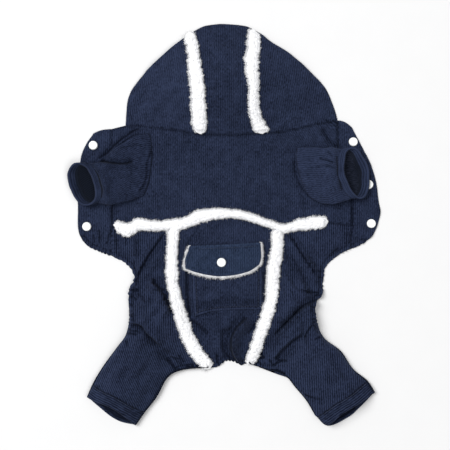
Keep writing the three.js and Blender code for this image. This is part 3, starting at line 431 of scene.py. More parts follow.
# Edges of the hood's and the yoke's fleece strips on the grid
FLEECE_HOOD_LEFT = (
    [(-0.64, 0.05), (-0.67, 0.34), (-0.69, 0.64), (-0.71, 1), (-0.73, 1.3), (-0.74, 1.6), (-0.84, 1.93)],
    [(-0.33, 0.05), (-0.35, 0.4), (-0.37, 0.8), (-0.41, 1.1), (-0.47, 1.46), (-0.53, 1.84), (-0.59, 2.08)],
)
FLEECE_HOOD_RIGHT = (
    [(0.57, 0.03), (0.51, 0.24), (0.46, 0.54), (0.47, 0.94), (0.41, 1.16), (0.37, 1.4), (0.43, 1.74),
     (0.46, 2.13)],
    [(0.92, 0.07), (0.81, 0.26), (0.73, 0.4), (0.69, 0.74), (0.69, 1.1), (0.69, 1.5), (0.73, 1.8),
     (0.72, 1.99)],
)
FLEECE_YOKE = (
    [(-2.18, -1.9), (-2.07, -2.01), (-1.93, -2.05), (-1.79, -1.98), (-1.71, -1.92), (-1.41, -1.92),
     (-1.17, -1.92), (-0.89, -1.91), (-0.59, -1.81), (-0.39, -1.74), (-0.09, -1.68), (0.16, -1.66),
     (0.41, -1.7), (0.66, -1.78), (0.92, -1.86), (1.19, -1.96), (1.31, -1.95), (1.51, -1.91),
     (1.77, -1.9), (2.03, -1.86)],
    [(-2.19, -1.72), (-2.07, -1.71), (-1.89, -1.75), (-1.77, -1.66), (-1.54, -1.68), (-1.29, -1.71),
     (-1.04, -1.67), (-0.79, -1.62), (-0.59, -1.52), (-0.44, -1.47), (-0.17, -1.46), (0.21, -1.49),
     (0.49, -1.55), (0.73, -1.64), (0.96, -1.72), (1.16, -1.78), (1.31, -1.75), (1.51, -1.66),
     (1.76, -1.62), (2.04, -1.61)],
)

# Widths of the back's fleece strips, as shares of TRIM_WIDTH, evenly along each
BACK_TRIM_WIDTHS_LEFT = [0.84, 0.8, 0.82, 0.84, 0.95, 1, 0.95]
BACK_TRIM_WIDTHS_RIGHT = [0.84, 0.92, 0.98, 0.84, 0.86, 0.84, 0.78]

# Sleeve sections: across, along, lift over the snaps, length, thickness, turn, lean
SLEEVE_LEFT = [
    (-1.6, -0.6, 0, 1, 0.5, -6, 88),
    (-1.83, -0.66, 0.2, 1.02, 0.28, -4, 54),
    (-2.08, -0.78, 0.8, 0.95, 0.3, -2, 24),
    (-2.28, -0.9, 1, 0.8, 0.38, 2, 12),
    (-2.44, -0.97, 1, 0.68, 0.44, 12, 26),
    (-2.66, -0.98, 1.3, 0.66, 0.82, 19, 68),
    (-2.83, -0.98, 1.6, 0.67, 0.94, 20, 73),
]
SLEEVE_RIGHT = [
    (1.63, -0.76, 0, 0.84, 0.5, 16, 88),
    (1.84, -0.81, 0.3, 0.9, 0.3, 10, 50),
    (1.98, -0.83, 0.9, 0.9, 0.34, 5, 24),
    (2.1, -0.83, 1, 0.9, 0.42, 4, 14),
    (2.22, -0.8, 1, 0.87, 0.48, 7, 28),
    (2.44, -0.78, 1.3, 0.81, 0.8, 11, 66),
    (2.62, -0.77, 1.6, 0.8, 0.93, 12, 73),
]

# Painted shade inside each sleeve, in its turned-in hem and in its depth, and over its whole outside:
# painted shade on the left sleeve and painted light on the right
SLEEVE_SHADES = {"left": (0.3, 1.0, 0.08), "right": (0, 0.3, -0.22)}


def chart():
    """The chart's grid step in metres and its origin, read off two snaps of the CAD frame."""
    def middle(node):
        low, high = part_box(node)
        return (np.array(low) + np.array(high)) / 2

    near, far = middle("pocket_snap"), middle("snap_left_top")
    step = (near[0] - far[0]) / (POCKET_SNAP[0] - CORNER_SNAP[0])
    return step, near[0] - step * POCKET_SNAP[0], near[1] - step * POCKET_SNAP[1]


GRID, ORIGIN_X, ORIGIN_Y = chart()


def smooth_line(*lists):
    """Dense points along one or more lists, smooth in each with a corner between them."""
    found = []
    for points in lists:
        p = np.array(points, float)
        if len(p) == 2:
            found.append(np.linspace(p[0], p[1], STRAIGHT_POINTS))
            continue
        ends = np.vstack([2 * p[0] - p[1], p, 2 * p[-1] - p[-2]])
        for i in range(1, len(ends) - 2):
            q = ends[i - 1:i + 3]
            gaps = np.sqrt(np.maximum(np.linalg.norm(np.diff(q, axis=0), axis=1), 1e-9))
            t = np.concatenate([[0], np.cumsum(gaps)])
            x = np.linspace(t[1], t[2], CURVE_POINTS)[:, None]
            a = [q[k] * (t[k + 1] - x) / gaps[k] + q[k + 1] * (x - t[k]) / gaps[k] for k in range(3)]
            b = [
                a[k] * (t[k + 2] - x) / (t[k + 2] - t[k]) + a[k + 1] * (x - t[k]) / (t[k + 2] - t[k])
                for k in range(2)
            ]
            found.append(b[0] * (t[2] - x) / gaps[1] + b[1] * (x - t[1]) / gaps[1])
    line = np.vstack(found)
    keep = np.concatenate([[True], np.linalg.norm(np.diff(line, axis=0), axis=1) > 1e-9])
    return line[keep]


def read_line(line, shares):
    """Points of a line at shares of its length, in any number of dimensions."""
    run = np.concatenate([[0], np.cumsum(np.linalg.norm(np.diff(line, axis=0), axis=1))])
    at = np.asarray(shares) * run[-1]
    return np.stack([np.interp(at, run, line[:, k]) for k in range(line.shape[1])], -1)


def length_of(line):
    """Length of a grid line in metres."""
    return GRID * np.linalg.norm(np.diff(line, axis=0), axis=1).sum()


def coons(start, end, left, right, s, t):
    """Grid points of the area between four lines, for every share s across and t along."""
    first, last = read_line(start, s)[None], read_line(end, s)[None]
    west, east = read_line(left, t)[:, None], read_line(right, t)[:, None]
    u, v = s[None, :, None], t[:, None, None]
    ruled = (1 - v) * first + v * last + (1 - u) * west + u * east
    corners = (
        (1 - u) * (1 - v) * left[0] + u * (1 - v) * right[0] + (1 - u) * v * left[-1] + u * v * right[-1]
    )
    return ruled - corners


def bump(share):
    """One at nothing, falling smoothly to nothing at one."""
    return np.where(share < 1, (1 - np.minimum(share, 1) ** 2) ** 2, 0.0)


def smoothstep(low, high, x):
    t = np.clip((x - low) / (high - low), 0, 1)
    return t * t * (3 - 2 * t)


def project(line, a, b):
    """Distance on the grid from points to a line, the side they are on, which is positive on its
    left, how far along it they are, and its whole length."""
    nearest, side, along = np.full(np.shape(a), 1e9), np.zeros(np.shape(a)), np.zeros(np.shape(a))
    run = 0
    for (fa, fb), (ta, tb) in zip(line[:-1], line[1:]):
        da, db = ta - fa, tb - fb
        size = math.hypot(da, db)
        held = np.clip(((a - fa) * da + (b - fb) * db) / (size * size), 0, 1)
        ea, eb = a - fa - held * da, b - fb - held * db
        away = np.hypot(ea, eb)
        near = away < nearest
        nearest = np.where(near, away, nearest)
        side = np.where(near, np.sign(da * eb - db * ea), side)
        along = np.where(near, run + held * size, along)
        run += size
    return nearest, side, along, run


def distance_to(line, a, b):
    return project(line, a, b)[0]


def fold_at(fold, a, b):
    """Height that one fold adds, the painted shade in and beside its slot, and the painted highlight on its
    crest.
    """
    points, slot, slot_reach, left_rise, right_rise, rise_reach = fold
    away, side, along, run = project(smooth_line(points)[::4], a, b)
    end = FADE_SHARE * run
    fade = smoothstep(0, end, along) * smoothstep(0, end, run - along)
    left = 0.5 + 0.5 * np.clip(side * away / slot_reach, -1, 1)
    beside = right_rise + (left_rise - right_rise) * left
    rise = bump(away / (RISE_REACH * rise_reach)) * beside
    # Painted shade in the slot and, softer, beside it, and a painted highlight along the crest of the rise
    near = bump(away / (0.75 * slot_reach + 0.008))
    dark = min(1, slot / FULL_SLOT) * min(1, FULL_REACH / slot_reach) * near
    soft = 0.3 * min(1, slot / FULL_SOFT_SLOT) * bump(away / (0.7 * rise_reach))
    crest = bump(np.abs(away - 0.5 * rise_reach) / (0.4 * rise_reach))
    painted_highlight = 0.4 * crest * np.clip(beside / FULL_RISE, 0, 1)
    high = RISE * rise - slot * bump(away / slot_reach)
    return fade * high, fade * np.maximum(dark, soft), fade * painted_highlight


def waves(seed, a, b, size, count=14):
    """Smooth random field of about one in height, with waves of about the given grid size."""
    rng = np.random.default_rng(seed)
    total = np.zeros(np.shape(a))
    for _ in range(count):
        angle, phase = rng.uniform(0, 2 * math.pi, 2)
        k = 2 * math.pi / (size * rng.uniform(0.7, 1.5))
        total += np.sin(k * (a * math.cos(angle) + b * math.sin(angle)) + phase)
    return total / math.sqrt(count / 2)


def base_height(a, b):
    """Height of the garment's upper surface, as the CAD has it."""
    rise = np.zeros(np.shape(a))
    for mid_a, mid_b, reach_a, reach_b, high in SWELLS:
        rise += high * bump(np.hypot((a - mid_a) / reach_a, (b - mid_b) / reach_b))
    for from_a, from_b, to_a, to_b, reach, high in MAIN_FOLDS:
        rise += high * bump(distance_to([(from_a, from_b), (to_a, to_b)], a, b) / reach)
    return CLOTH + np.maximum(rise, 0)


def fine_height(a, b):
    """Height with the folds and the cloth's soft unevenness, and the folds' painted shade less their
    painted highlights.
    """
    rise = base_height(a, b)
    rise = rise + CRUMPLE * (0.8 * waves(11, a, b, 0.55) + 0.4 * waves(12, a, b, 0.2))
    for mid_a, mid_b, reach_a, reach_b, high in CRUMPLED:
        near = bump(np.hypot((a - mid_a) / reach_a, (b - mid_b) / reach_b))
        rise = rise + high * near * waves(14, a + 0.6 * np.sign(mid_a) * b, 0.35 * b, 0.26)
    dark = np.zeros(np.shape(a))
    light = np.zeros(np.shape(a))
    for fold in FOLDS:
        high, painted_dark, painted_highlight = fold_at(fold, a, b)
        rise = rise + high
        dark = np.maximum(dark, painted_dark)
        light = np.maximum(light, painted_highlight)
    return np.maximum(rise, 0.8 * CLOTH), dark - light * (1 - dark)


def pucker(line, a, b, reach, high, seed):
    """Tucks where elastic draws an edge in: height added, shift of the points on the grid, and painted
    shade in the elastic's groove and between the tucks.
    """
    away, _, along, _ = project(line, a, b)
    metres = along * GRID
    turn = 2 * math.pi * metres / GATHER_PITCH + 1.6 * waves(seed, along, along * 0, 0.5, 6)
    strength = 0.6 + 0.4 * waves(seed + 1, along, along * 0, 0.7, 6)
    near = bump(away / reach)
    rise = high * near * strength * np.sin(turn)
    shift = 0.9 * high / GRID * bump(away / (0.6 * reach)) * np.sin(turn + 0.8) * strength
    groove = bump(np.abs(away * GRID - ELASTIC_INSET) / ELASTIC_HALF_WIDTH)
    dark = 0.5 * groove + 0.3 * near * np.maximum(-np.sin(turn), 0)
    return rise - ELASTIC_DEPTH * groove, shift, dark


def to_metres(a, b):
    return ORIGIN_X + GRID * a, ORIGIN_Y + GRID * b


def grid_of(x, y):
    return (x - ORIGIN_X) / GRID, (y - ORIGIN_Y) / GRID


def unit(ways):
    """Rows of directions at length one."""
    return ways / np.linalg.norm(ways, axis=1, keepdims=True)


def sideways(line):
    """Directions at right angles to a line on the grid, to its left."""
    tangent = unit(np.gradient(line, axis=0))
    return np.stack([-tangent[:, 1], tangent[:, 0]], -1)


def new_piece(name, points, faces, nodes, materials, cut=None, dark=None):
    """A mesh piece that rides on the root, stands for its CAD nodes and wears its materials."""
    mesh = bpy.data.meshes.new(name)
    mesh.from_pydata(np.asarray(points).tolist(), [], [list(f) for f in faces])
    mesh.validate()
    mesh.update()
    mesh.shade_smooth()
    if cut is not None:
        layer = mesh.attributes.new("cut", "FLOAT_VECTOR", "POINT")
        layer.data.foreach_set("vector", np.asarray(cut, np.float32).ravel())
        # The piece's painted shade and painted highlights, for its material
        shade = mesh.attributes.new("painted_shading", "FLOAT", "POINT")
        level = np.zeros(len(mesh.vertices), np.float32)
        level[:len(dark)] = dark
        shade.data.foreach_set("value", level)
    piece = bpy.data.objects.new(name, mesh)
    bpy.context.scene.collection.objects.link(piece)
    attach(piece, "root")
    if nodes:
        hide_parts(*nodes)
    for made in materials:
        mesh.materials.append(made)
    return piece


def grid_faces(rows, columns, start=0, flip=False):
    k = start + (np.arange(rows - 1)[:, None] * columns + np.arange(columns - 1)[None]).ravel()
    quads = np.stack([k, k + 1, k + 1 + columns, k + columns], -1)
    return (quads[:, ::-1] if flip else quads).tolist()


def ring_faces(loops, around, closed=False):
    """Faces that join each loop of points to the next one."""
    faces = []
    for k in range(loops if closed else loops - 1):
        n = (k + 1) % loops
        for i in range(around):
            j = (i + 1) % around
            faces.append([k * around + i, k * around + j, n * around + j, n * around + i])
    return faces


def border_of(rows, columns):
    """Vertex numbers round a grid's border, in order."""
    low = list(range(columns))
    right = [j * columns + columns - 1 for j in range(1, rows)]
    top = [(rows - 1) * columns + i for i in range(columns - 2, -1, -1)]
    left = [j * columns for j in range(rows - 2, 0, -1)]
    return low + right + top + left


def slab(x, y, top, under):
    """Points and faces of a closed sheet with a rounded edge between two heights over a grid."""
    rows, columns = x.shape
    count = rows * columns
    border = border_of(rows, columns)
    upper = np.stack([x, y, top], -1).reshape(-1, 3)
    lower = np.stack([x, y, under], -1).reshape(-1, 3)
    edge = ((upper + lower) / 2)[border]
    ahead, behind = np.roll(edge, -1, axis=0), np.roll(edge, 1, axis=0)
    along = ahead - behind
    out = np.stack([along[:, 1], -along[:, 0], np.zeros(len(edge))], -1)
    out /= np.maximum(np.linalg.norm(out, axis=1, keepdims=True), 1e-9)
    area = np.sum(edge[:, 0] * ahead[:, 1] - ahead[:, 0] * edge[:, 1])
    out *= 1 if area > 0 else -1
    thick = np.abs(upper[border, 2] - lower[border, 2])[:, None]
    points = np.vstack([upper, lower, edge + out * thick * EDGE_BULGE])
    faces = grid_faces(rows, columns) + grid_faces(rows, columns, count, True)
    size = len(border)
    for i, k in enumerate(border):
        n = border[(i + 1) % size]
        r, q = 2 * count + i, 2 * count + (i + 1) % size
        faces.append([k, r, q, n])
        faces.append([r, count + k, count + n, q])
    if area < 0:
        faces = [f[::-1] for f in faces]
    return points, faces


def seam_dip(plan, sides):
    """How far each point sinks towards the seams at the sides that have one."""
    borders = {"start": plan[0], "end": plan[-1], "left": plan[:, 0], "right": plan[:, -1]}
    dip = np.zeros(plan.shape[:2])
    for side in sides:
        line = borders[side][::max(1, len(borders[side]) // 60)]
        away = distance_to(line, plan[..., 0], plan[..., 1]) * GRID
        dip = np.maximum(dip, SEAM_DEPTH * bump(away / SEAM_REACH))
    return dip


def sunk(z, dark, dip):
    """The cloth's height and its painted shade, with its seams' dips and the painted shade in them."""
    return z - dip, np.maximum(dark, SEAM_SHADE * dip / SEAM_DEPTH)


def cells(line_a, line_b, size=MESH_CELL):
    return max(6, int(round(max(length_of(line_a), length_of(line_b)) / size)))


def panel(name, cad_node, lines, seams, slant=0.0, elastic=None, cell=MESH_CELL, warp=None, shade=0.0):
    """A cloth panel between four lines, with its wales at a slant from straight along."""
    start, end, left, right = [smooth_line(*line) for line in lines]
    s = np.linspace(0, 1, cells(start, end, cell) + 1)
    t = np.linspace(0, 1, cells(left, right, cell) + 1)
    plan = coons(start, end, left, right, s, t)
    a, b = plan[..., 0], plan[..., 1]
    z, dark = sunk(*fine_height(a, b), seam_dip(plan, seams))
    if elastic is not None:
        rise, shift, painted_dark = pucker(smooth_line(elastic)[::4], a, b, *PANEL_GATHERS)
        z, b = z + rise, b + shift
        dark = np.maximum(dark, painted_dark)
    z = np.maximum(z, LOWEST_TOP)
    x, y = to_metres(a, b)
    points, faces = slab(x, y, z, np.maximum(z - SHEET_THICKNESS, FLOOR_CLEARANCE))
    cut = cut_of(points, slant)
    if warp is not None:
        cut[:, 0] += warp(points)
    # The folds', seams' and gathers' painted shade and highlights, plus shade, which paints the whole panel
    # evenly darker when above nothing and lighter when below
    new_piece(name, points, faces, [cad_node], [NAVY], cut, dark.ravel() + shade)


def cut_of(points, slant=0.0):
    """Cloth coordinates in metres, with wales along the second one."""
    c, s = math.cos(slant), math.sin(slant)
    x, y, z = points.T
    return np.stack([x * c + y * s, y * c - x * s, z], -1)


# Materials

def material(name):
    made = bpy.data.materials.new(name)
    made.use_nodes = True
    tree = made.node_tree
    tree.nodes.clear()
    out = tree.nodes.new("ShaderNodeOutputMaterial")
    shader = tree.nodes.new("ShaderNodeBsdfPrincipled")
    tree.links.new(shader.outputs[0], out.inputs[0])
    return made, tree, shader


def node(tree, kind, inputs=None, **settings):
    made = tree.nodes.new(kind)
    for key, value in settings.items():
        setattr(made, key, value)
    for key, value in (inputs or {}).items():
        if isinstance(value, bpy.types.NodeSocket):
            tree.links.new(value, made.inputs[key])
        else:
            made.inputs[key].default_value = value
    return made


def maths(tree, operation, *values):
    return node(tree, "ShaderNodeMath", dict(enumerate(values)), operation=operation).outputs[0]


def noise(tree, vector, scale, detail=3.0, rough=0.55):
    return node(
        tree, "ShaderNodeTexNoise",
        {"Vector": vector, "Scale": scale, "Detail": detail, "Roughness": rough},
    ).outputs["Fac"]


def two_tone(tree, shader, factor, dark, light):
    """Mixes the shader's colour from a darker and a lighter one."""
    ends = {"Factor": factor, 6: (*dark, 1), 7: (*light, 1)}
    colour = node(tree, "ShaderNodeMix", ends, data_type="RGBA")
    tree.links.new(colour.outputs[2], shader.inputs["Base Color"])


def relief(tree, shader, strength, distance, height):
    """Raises the surface by a pattern."""
    raised = node(
        tree, "ShaderNodeBump", {"Strength": strength, "Distance": distance, "Height": height},
    )
    tree.links.new(raised.outputs[0], shader.inputs["Normal"])


def finish(shader, values):
    for name, value in values.items():
        shader.inputs[name].default_value = value


def corduroy(name, colours, wale_share=1.0):
    """Fine-wale corduroy: ribs of pile with dark grooves between them, mottled by wear, darkened by painted
    shade and lightened by painted highlights that each piece carries.
    """
    made, tree, shader = material(name)
    cut = node(tree, "ShaderNodeAttribute", attribute_name="cut").outputs["Vector"]
    painted_shading = node(tree, "ShaderNodeAttribute", attribute_name="painted_shading").outputs["Fac"]
    split = node(tree, "ShaderNodeSeparateXYZ", {0: cut})
    place = node(tree, "ShaderNodeTexCoord").outputs["Object"]
    waver = noise(tree, place, 120.0, 2.0)
    shifted = maths(tree, "MULTIPLY_ADD", waver, 0.45 * WALE_PITCH, split.outputs[0])
    angle = maths(tree, "MULTIPLY", shifted, 2 * math.pi / WALE_PITCH)
    wale = maths(tree, "MULTIPLY_ADD", maths(tree, "SINE", angle), 0.5, 0.5)
    rib = maths(tree, "POWER", wale, 0.7)
    stretched = node(tree, "ShaderNodeCombineXYZ", {
        0: maths(tree, "MULTIPLY", shifted, 850.0), 1: maths(tree, "MULTIPLY", split.outputs[1], 340.0),
    }).outputs[0]
    dashes = noise(tree, stretched, 1.0, 3.0, 0.6)
    nap = noise(tree, place, 1500.0, 3.0, 0.7)
    patches = noise(tree, place, 100.0, 4.0, 0.62)
    broad = noise(tree, place, 16.0, 2.0)
    middle = MIDDLE_TONE - 0.5 * (sum(TONE_SHARES) + TONE_SHARES[0] * max(wale_share - 1, 0))
    # Painted shade darkens the tone, and painted highlights, where the value is below nothing, lighten it
    tone = maths(tree, "MULTIPLY_ADD", painted_shading, -PAINTED_SHADING_SHARE, middle)
    shares = (TONE_SHARES[0] * wale_share, *TONE_SHARES[1:])
    for share, pattern in zip(shares, (rib, dashes, patches, broad, nap)):
        tone = maths(tree, "MULTIPLY_ADD", pattern, share, tone)
    held = node(tree, "ShaderNodeMapRange", {"Value": tone, "From Min": 0.0, "From Max": 1.0})
    two_tone(tree, shader, held.outputs[0], *colours)
    height = maths(tree, "MULTIPLY_ADD", nap, 0.3, maths(tree, "MULTIPLY_ADD", dashes, 0.6, rib))
    relief(tree, shader, 0.8, 0.0006, height)
    finish(shader, {
        "Roughness": 0.92, "Specular IOR Level": 0.08, "Sheen Weight": 0.04, "Sheen Roughness": 0.5,
        "Sheen Tint": (0.6, 0.68, 0.9, 1),
    })
    return made


def fleece_material():
    """White pile with faint grey depth between its tufts."""
    made, tree, shader = material("fleece_pile")
    place = node(tree, "ShaderNodeTexCoord").outputs["Object"]
    curls = noise(tree, place, 420.0, 4.0, 0.65)
    broad = noise(tree, place, 45.0, 2.0)
    mixed = maths(tree, "MULTIPLY_ADD", curls, 0.7, maths(tree, "MULTIPLY", broad, 0.3))
    two_tone(tree, shader, mixed, *FLEECE_COLOURS)
    relief(tree, shader, 0.4, 0.0006, curls)
    finish(shader, {"Roughness": 0.95, "Specular IOR Level": 0.2, "Sheen Weight": 0.3})
    return made


def grained(name, scale, colours, values, raised=None):
    """A material of two close colours mixed by fine noise, and raised by it where that is given."""
    made, tree, shader = material(name)
    grain = noise(tree, node(tree, "ShaderNodeTexCoord").outputs["Object"], scale, 2.0)
    two_tone(tree, shader, grain, *colours)
    if raised is not None:
        relief(tree, shader, *raised, grain)
    finish(shader, values)
    return made


NAVY = corduroy("corduroy_navy", NAVY_COLOURS)
NAVY_LEG = corduroy("corduroy_leg", NAVY_COLOURS, LEG_WALES)
NAVY_FLAP = corduroy("corduroy_flap", FLAP_COLOURS)
NAVY_INSIDE = corduroy("corduroy_inside", INSIDE_COLOURS, INSIDE_WALES)
FLEECE = fleece_material()
PLASTIC = grained("snap_plastic", 350.0, PLASTIC_COLOURS, {"Roughness": 0.28}, (0.1, 0.0002))
THREAD = grained("thread", 3000.0, THREAD_COLOURS, {"Roughness": 0.6})
FLOOR = grained("floor_paper", 30.0, FLOOR_COLOURS, {"Roughness": 1.0, "Specular IOR Level": 0.0})


# Hood, yoke, bands and back

def build_hood():
    # Painted light on the hood's sides: the left side is made lighter and the right side a little lighter
    # than the centre
    panel("hood_centre_cloth", "hood_centre",
          [[NECK_CENTRE], [HOOD_TOP_CENTRE], [HOOD_SEAM_LEFT], [HOOD_SEAM_RIGHT]],
          ["start", "left", "right"])
    panel("hood_left_cloth", "hood_side_left",
          [[NECK_LEFT], [HOOD_TOP_LEFT], [HOOD_EDGE_LEFT], [HOOD_SEAM_LEFT]], ["start", "right"],
          slant=0.12, shade=-0.12)
    panel("hood_right_cloth", "hood_side_right",
          [[NECK_RIGHT], [HOOD_TOP_RIGHT], [HOOD_SEAM_RIGHT], [HOOD_EDGE_RIGHT]], ["start", "left"],
          slant=-0.15, shade=-0.05)


def build_yoke():
    neck = [[BAND_SEAM_LEFT[0], NECK_LEFT[0]], NECK_LEFT, NECK_CENTRE, NECK_RIGHT]
    waist = [WAIST_LEFT, WAIST_CENTRE, WAIST_RIGHT]
    panel("yoke_cloth", "yoke", [neck, waist, [BAND_SEAM_LEFT], [BAND_SEAM_RIGHT]],
          ["start", "end", "left", "right"], warp=shoulder_bias)


def shoulder_bias(points):
    """The right shoulder's cloth is pulled askew, so its wales slant there."""
    near = smoothstep(0.03, 0.075, points[:, 0]) * smoothstep(0.16, 0.12, points[:, 0])
    return 0.6 * near * np.maximum(points[:, 1] - 0.092, 0)


def build_bands():
    left = [[BAND_TOP_LEFT], [BAND_FOOT_LEFT], [BAND_EDGE_LEFT], [BAND_SEAM_LEFT, BAND_HEM_LEFT]]
    right = [[BAND_TOP_RIGHT], [BAND_FOOT_RIGHT], [BAND_SEAM_RIGHT, BAND_HEM_RIGHT], [BAND_EDGE_RIGHT]]
    for side, lines, seam in (("left", left, "right"), ("right", right, "left")):
        panel(f"belly_band_{side}_cloth", f"belly_band_{side}", lines, [seam], elastic=lines[1][0],
              cell=FINE_CELL)


def build_back():
    panel("back_cloth", "back_panel", [[WAIST_CENTRE], [TAIL_EDGE], [BACK_SEAM_LEFT], [BACK_SEAM_RIGHT]],
          ["start", "left", "right"], elastic=TAIL_EDGE, cell=FINE_CELL)


# Legs

def build_leg(side, waist, outer, inner, cuff, lip, mirror):
    """A hip and hind leg in one cloth that rolls over into a tube, with its under layer."""
    start, left, right = smooth_line(waist), smooth_line(*outer), smooth_line(*inner)
    rim = smooth_line(cuff)
    s = np.linspace(0, 1, cells(start, rim, FINE_CELL) + 1)
    t = np.linspace(0, 1, int(length_of(left) / (1.1 * FINE_CELL)))
    plan = coons(start, rim, left, right, s, t)
    # The rim gapes a little, so that the cuff's dark inside shows
    plan[..., 1] += CUFF_GAPE * np.sin(math.pi * s)[None] * smoothstep(GAPE_START, 1, t)[:, None]
    a, b = plan[..., 0], plan[..., 1]
    # Seams run along the waist, and along the back panel over the first part of the inner side
    seam_share = length_of(smooth_line(inner[0])) / length_of(right)
    seam_away = distance_to(plan[t <= seam_share, -1][::3], a, b) * GRID
    dip = np.maximum(seam_dip(plan, ["start"]), SEAM_DEPTH * bump(seam_away / SEAM_REACH))
    z, dark = sunk(*fine_height(a, b), dip)
    tube = smoothstep(FOLD_START, TUBE_START, t)[:, None]
    inner_tube = smoothstep(seam_share, TUBE_START + 0.08, t)[:, None]
    outer_away = distance_to(plan[::4, 0], a, b) * GRID
    inner_away = distance_to(plan[t > seam_share, -1][::3], a, b) * GRID
    roll = np.minimum(0.4 * z.max(axis=1, keepdims=True), ROLL_RADIUS)
    for away, share in ((outer_away, tube), (inner_away, inner_tube)):
        edge = np.clip(1 - away / np.maximum(roll, 1e-4), 0, 1)
        z = z - share * (z * ROLL_SINK) * (1 - np.sqrt(np.maximum(1 - edge ** 2, 0)))
    hem, hem_dark, hem_away = hem_relief(plan, cuff)
    z = np.maximum(z, LOWEST_TOP) + hem
    dark = np.maximum(dark, hem_dark)
    elastic = smooth_line(*outer)
    elastic = elastic[:int(OUTER_ELASTIC_SHARE * len(elastic)):3]
    rise, shift, painted_dark = pucker(elastic, a, b, *LEG_OUTER_GATHERS)
    z = np.maximum(z + rise, LOWEST_GATHER)
    dark = np.maximum(dark, painted_dark)
    elastic = smooth_line(inner[1])
    elastic = elastic[:len(elastic) // 3:3]
    rise, tuck, painted_dark = pucker(elastic, a, b, *LEG_INNER_GATHERS)
    z = np.maximum(z + rise, LOWEST_GATHER)
    # Weaker painted shade from the crotch's gathers, and a painted highlight along the leg's rolled outer
    # and inner edges
    dark = np.maximum(dark, 0.4 * painted_dark) - 0.45 * bump(np.minimum(outer_away, inner_away) / 0.003)
    ragged = HIP_RAGGED * (1 - tube) * waves(91, a, b, 0.09, 20)
    free = smoothstep(0.04, 0.3, distance_to(smooth_line(outer[0])[::3], a, b))
    x, y = to_metres(a + free * (ragged - 0.4 * mirror * shift), b + free * (0.5 * tuck + ragged))
    points, faces = slab(x, y, z, np.maximum(z - SHEET_THICKNESS, FLOOR_CLEARANCE))
    cut = cut_of(points)
    bend = np.maximum(LEG_BEND - points[:, 1], 0)
    cut[:, 0] += LEG_SLANTS[side] * bend ** 2 / (bend + LEG_BEND_REACH)
    flat = hem_away.ravel()
    away = np.concatenate([flat, flat, flat[border_of(*hem_away.shape)]])
    on_hem = away < HEM_WIDTH
    cut[on_hem, 0] = away[on_hem]
    new_piece(f"leg_{side}_cloth", points, faces, [f"leg_{side}"], [NAVY_LEG], cut,
              dark.ravel() + LEG_SHADE)
    build_leg_under(side, start, left, right, smooth_line(lip))


def hem_relief(plan, cuff):
    """The cuff's turned hem: a raised band with stitched grooves, and painted shade in the grooves."""
    line = smooth_line(cuff[:4])[::3] + [0, 0.6 * CUFF_GAPE]
    line = np.vstack([line, line[-1] + 12 * (line[-1] - line[-3])])
    away = distance_to(line, plan[..., 0], plan[..., 1]) * GRID
    band = smoothstep(HEM_WIDTH + 0.001, HEM_WIDTH - 0.001, away) * HEM_HEIGHT
    groove = bump(np.abs(away - HEM_WIDTH) / 0.0014)
    for share in HEM_STITCH_ROWS:
        groove = np.maximum(groove, 0.4 * bump(np.abs(away - share * HEM_WIDTH) / 0.0012))
    return band - HEM_HEIGHT * groove, 0.75 * groove, away


def build_leg_under(side, start, left, right, lip):
    """The leg's under layer, which reaches out past the upper one at the cuff."""
    s = np.linspace(0.004, 0.996, UNDER_CELLS[0])
    t = np.linspace(FOLD_START + 0.06, 1, UNDER_CELLS[1])
    plan = coons(start, lip, left, right, s, t)
    a, b = plan[..., 0], plan[..., 1]
    x, y = to_metres(a, b)
    lift = 0.0006 * (1 + waves(31, a, b, 0.35))
    edge = np.minimum(s, 1 - s)[None, :]
    curl = UNDER_CURL * bump(edge / 0.05) * smoothstep(FOLD_START, TUBE_START, t)[:, None]
    z = 0.8 * CLOTH + np.maximum(lift, 0) * 0.5 + curl
    points, faces = slab(x, y, z, np.maximum(z - 0.75 * CLOTH, FLOOR_CLEARANCE))
    cut = cut_of(points)
    from_lip = distance_to(lip[::3], *grid_of(points[:, 0], points[:, 1])) * GRID
    cut[:, 0] = from_lip
    # Painted shade inside the leg's tube, from just behind the lip inwards
    painted_dark = 0.85 * smoothstep(0.0012, 0.003, from_lip)
    new_piece(f"leg_{side}_under", points, faces, [f"leg_{side}"], [NAVY], cut, painted_dark)


# Sleeves

def spread(values, share):
    return np.interp(share, np.linspace(0, 1, len(values)), values)


def sleeve_rings(sections, outward, share):
    """Middles, directions and half sizes of a sleeve's rings, with their distance from the cuff."""
    rows = np.array(sections, float)
    middles = []
    for across, along, lift, _, thickness, _, lean in sections:
        under = CLOTH + 2 * GAP + lift * (SNAP_HEIGHT + GAP)
        half = thickness * SLEEVE_HEIGHT * math.cos(math.radians(lean))
        middles.append((*to_metres(across, along), under + half))
    spine = smooth_line(middles)
    run = np.concatenate([[0], np.cumsum(np.linalg.norm(np.diff(spine, axis=0), axis=1))])
    marks = [run[np.argmin(np.linalg.norm(spine - m, axis=1))] for m in middles]
    at = spread(marks, share)
    middle = np.stack([np.interp(at, run, spine[:, k]) for k in range(3)], -1)
    turn = np.radians(spread(rows[:, 5], share))
    lean = np.radians(spread(rows[:, 6], share))
    level = np.zeros(len(share))
    long = np.stack([-np.sin(turn), np.cos(turn), level], -1)
    inward = np.stack([-outward * np.cos(turn), -outward * np.sin(turn), level], -1)
    up = inward * np.sin(lean)[:, None] + np.array([0, 0, 1]) * np.cos(lean)[:, None]
    half_long = spread(rows[:, 3], share) * ARMHOLE_LENGTH / 2
    half_thick = spread(rows[:, 4], share) * SLEEVE_HEIGHT
    return middle, long, up, half_long, half_thick, run[-1] - at


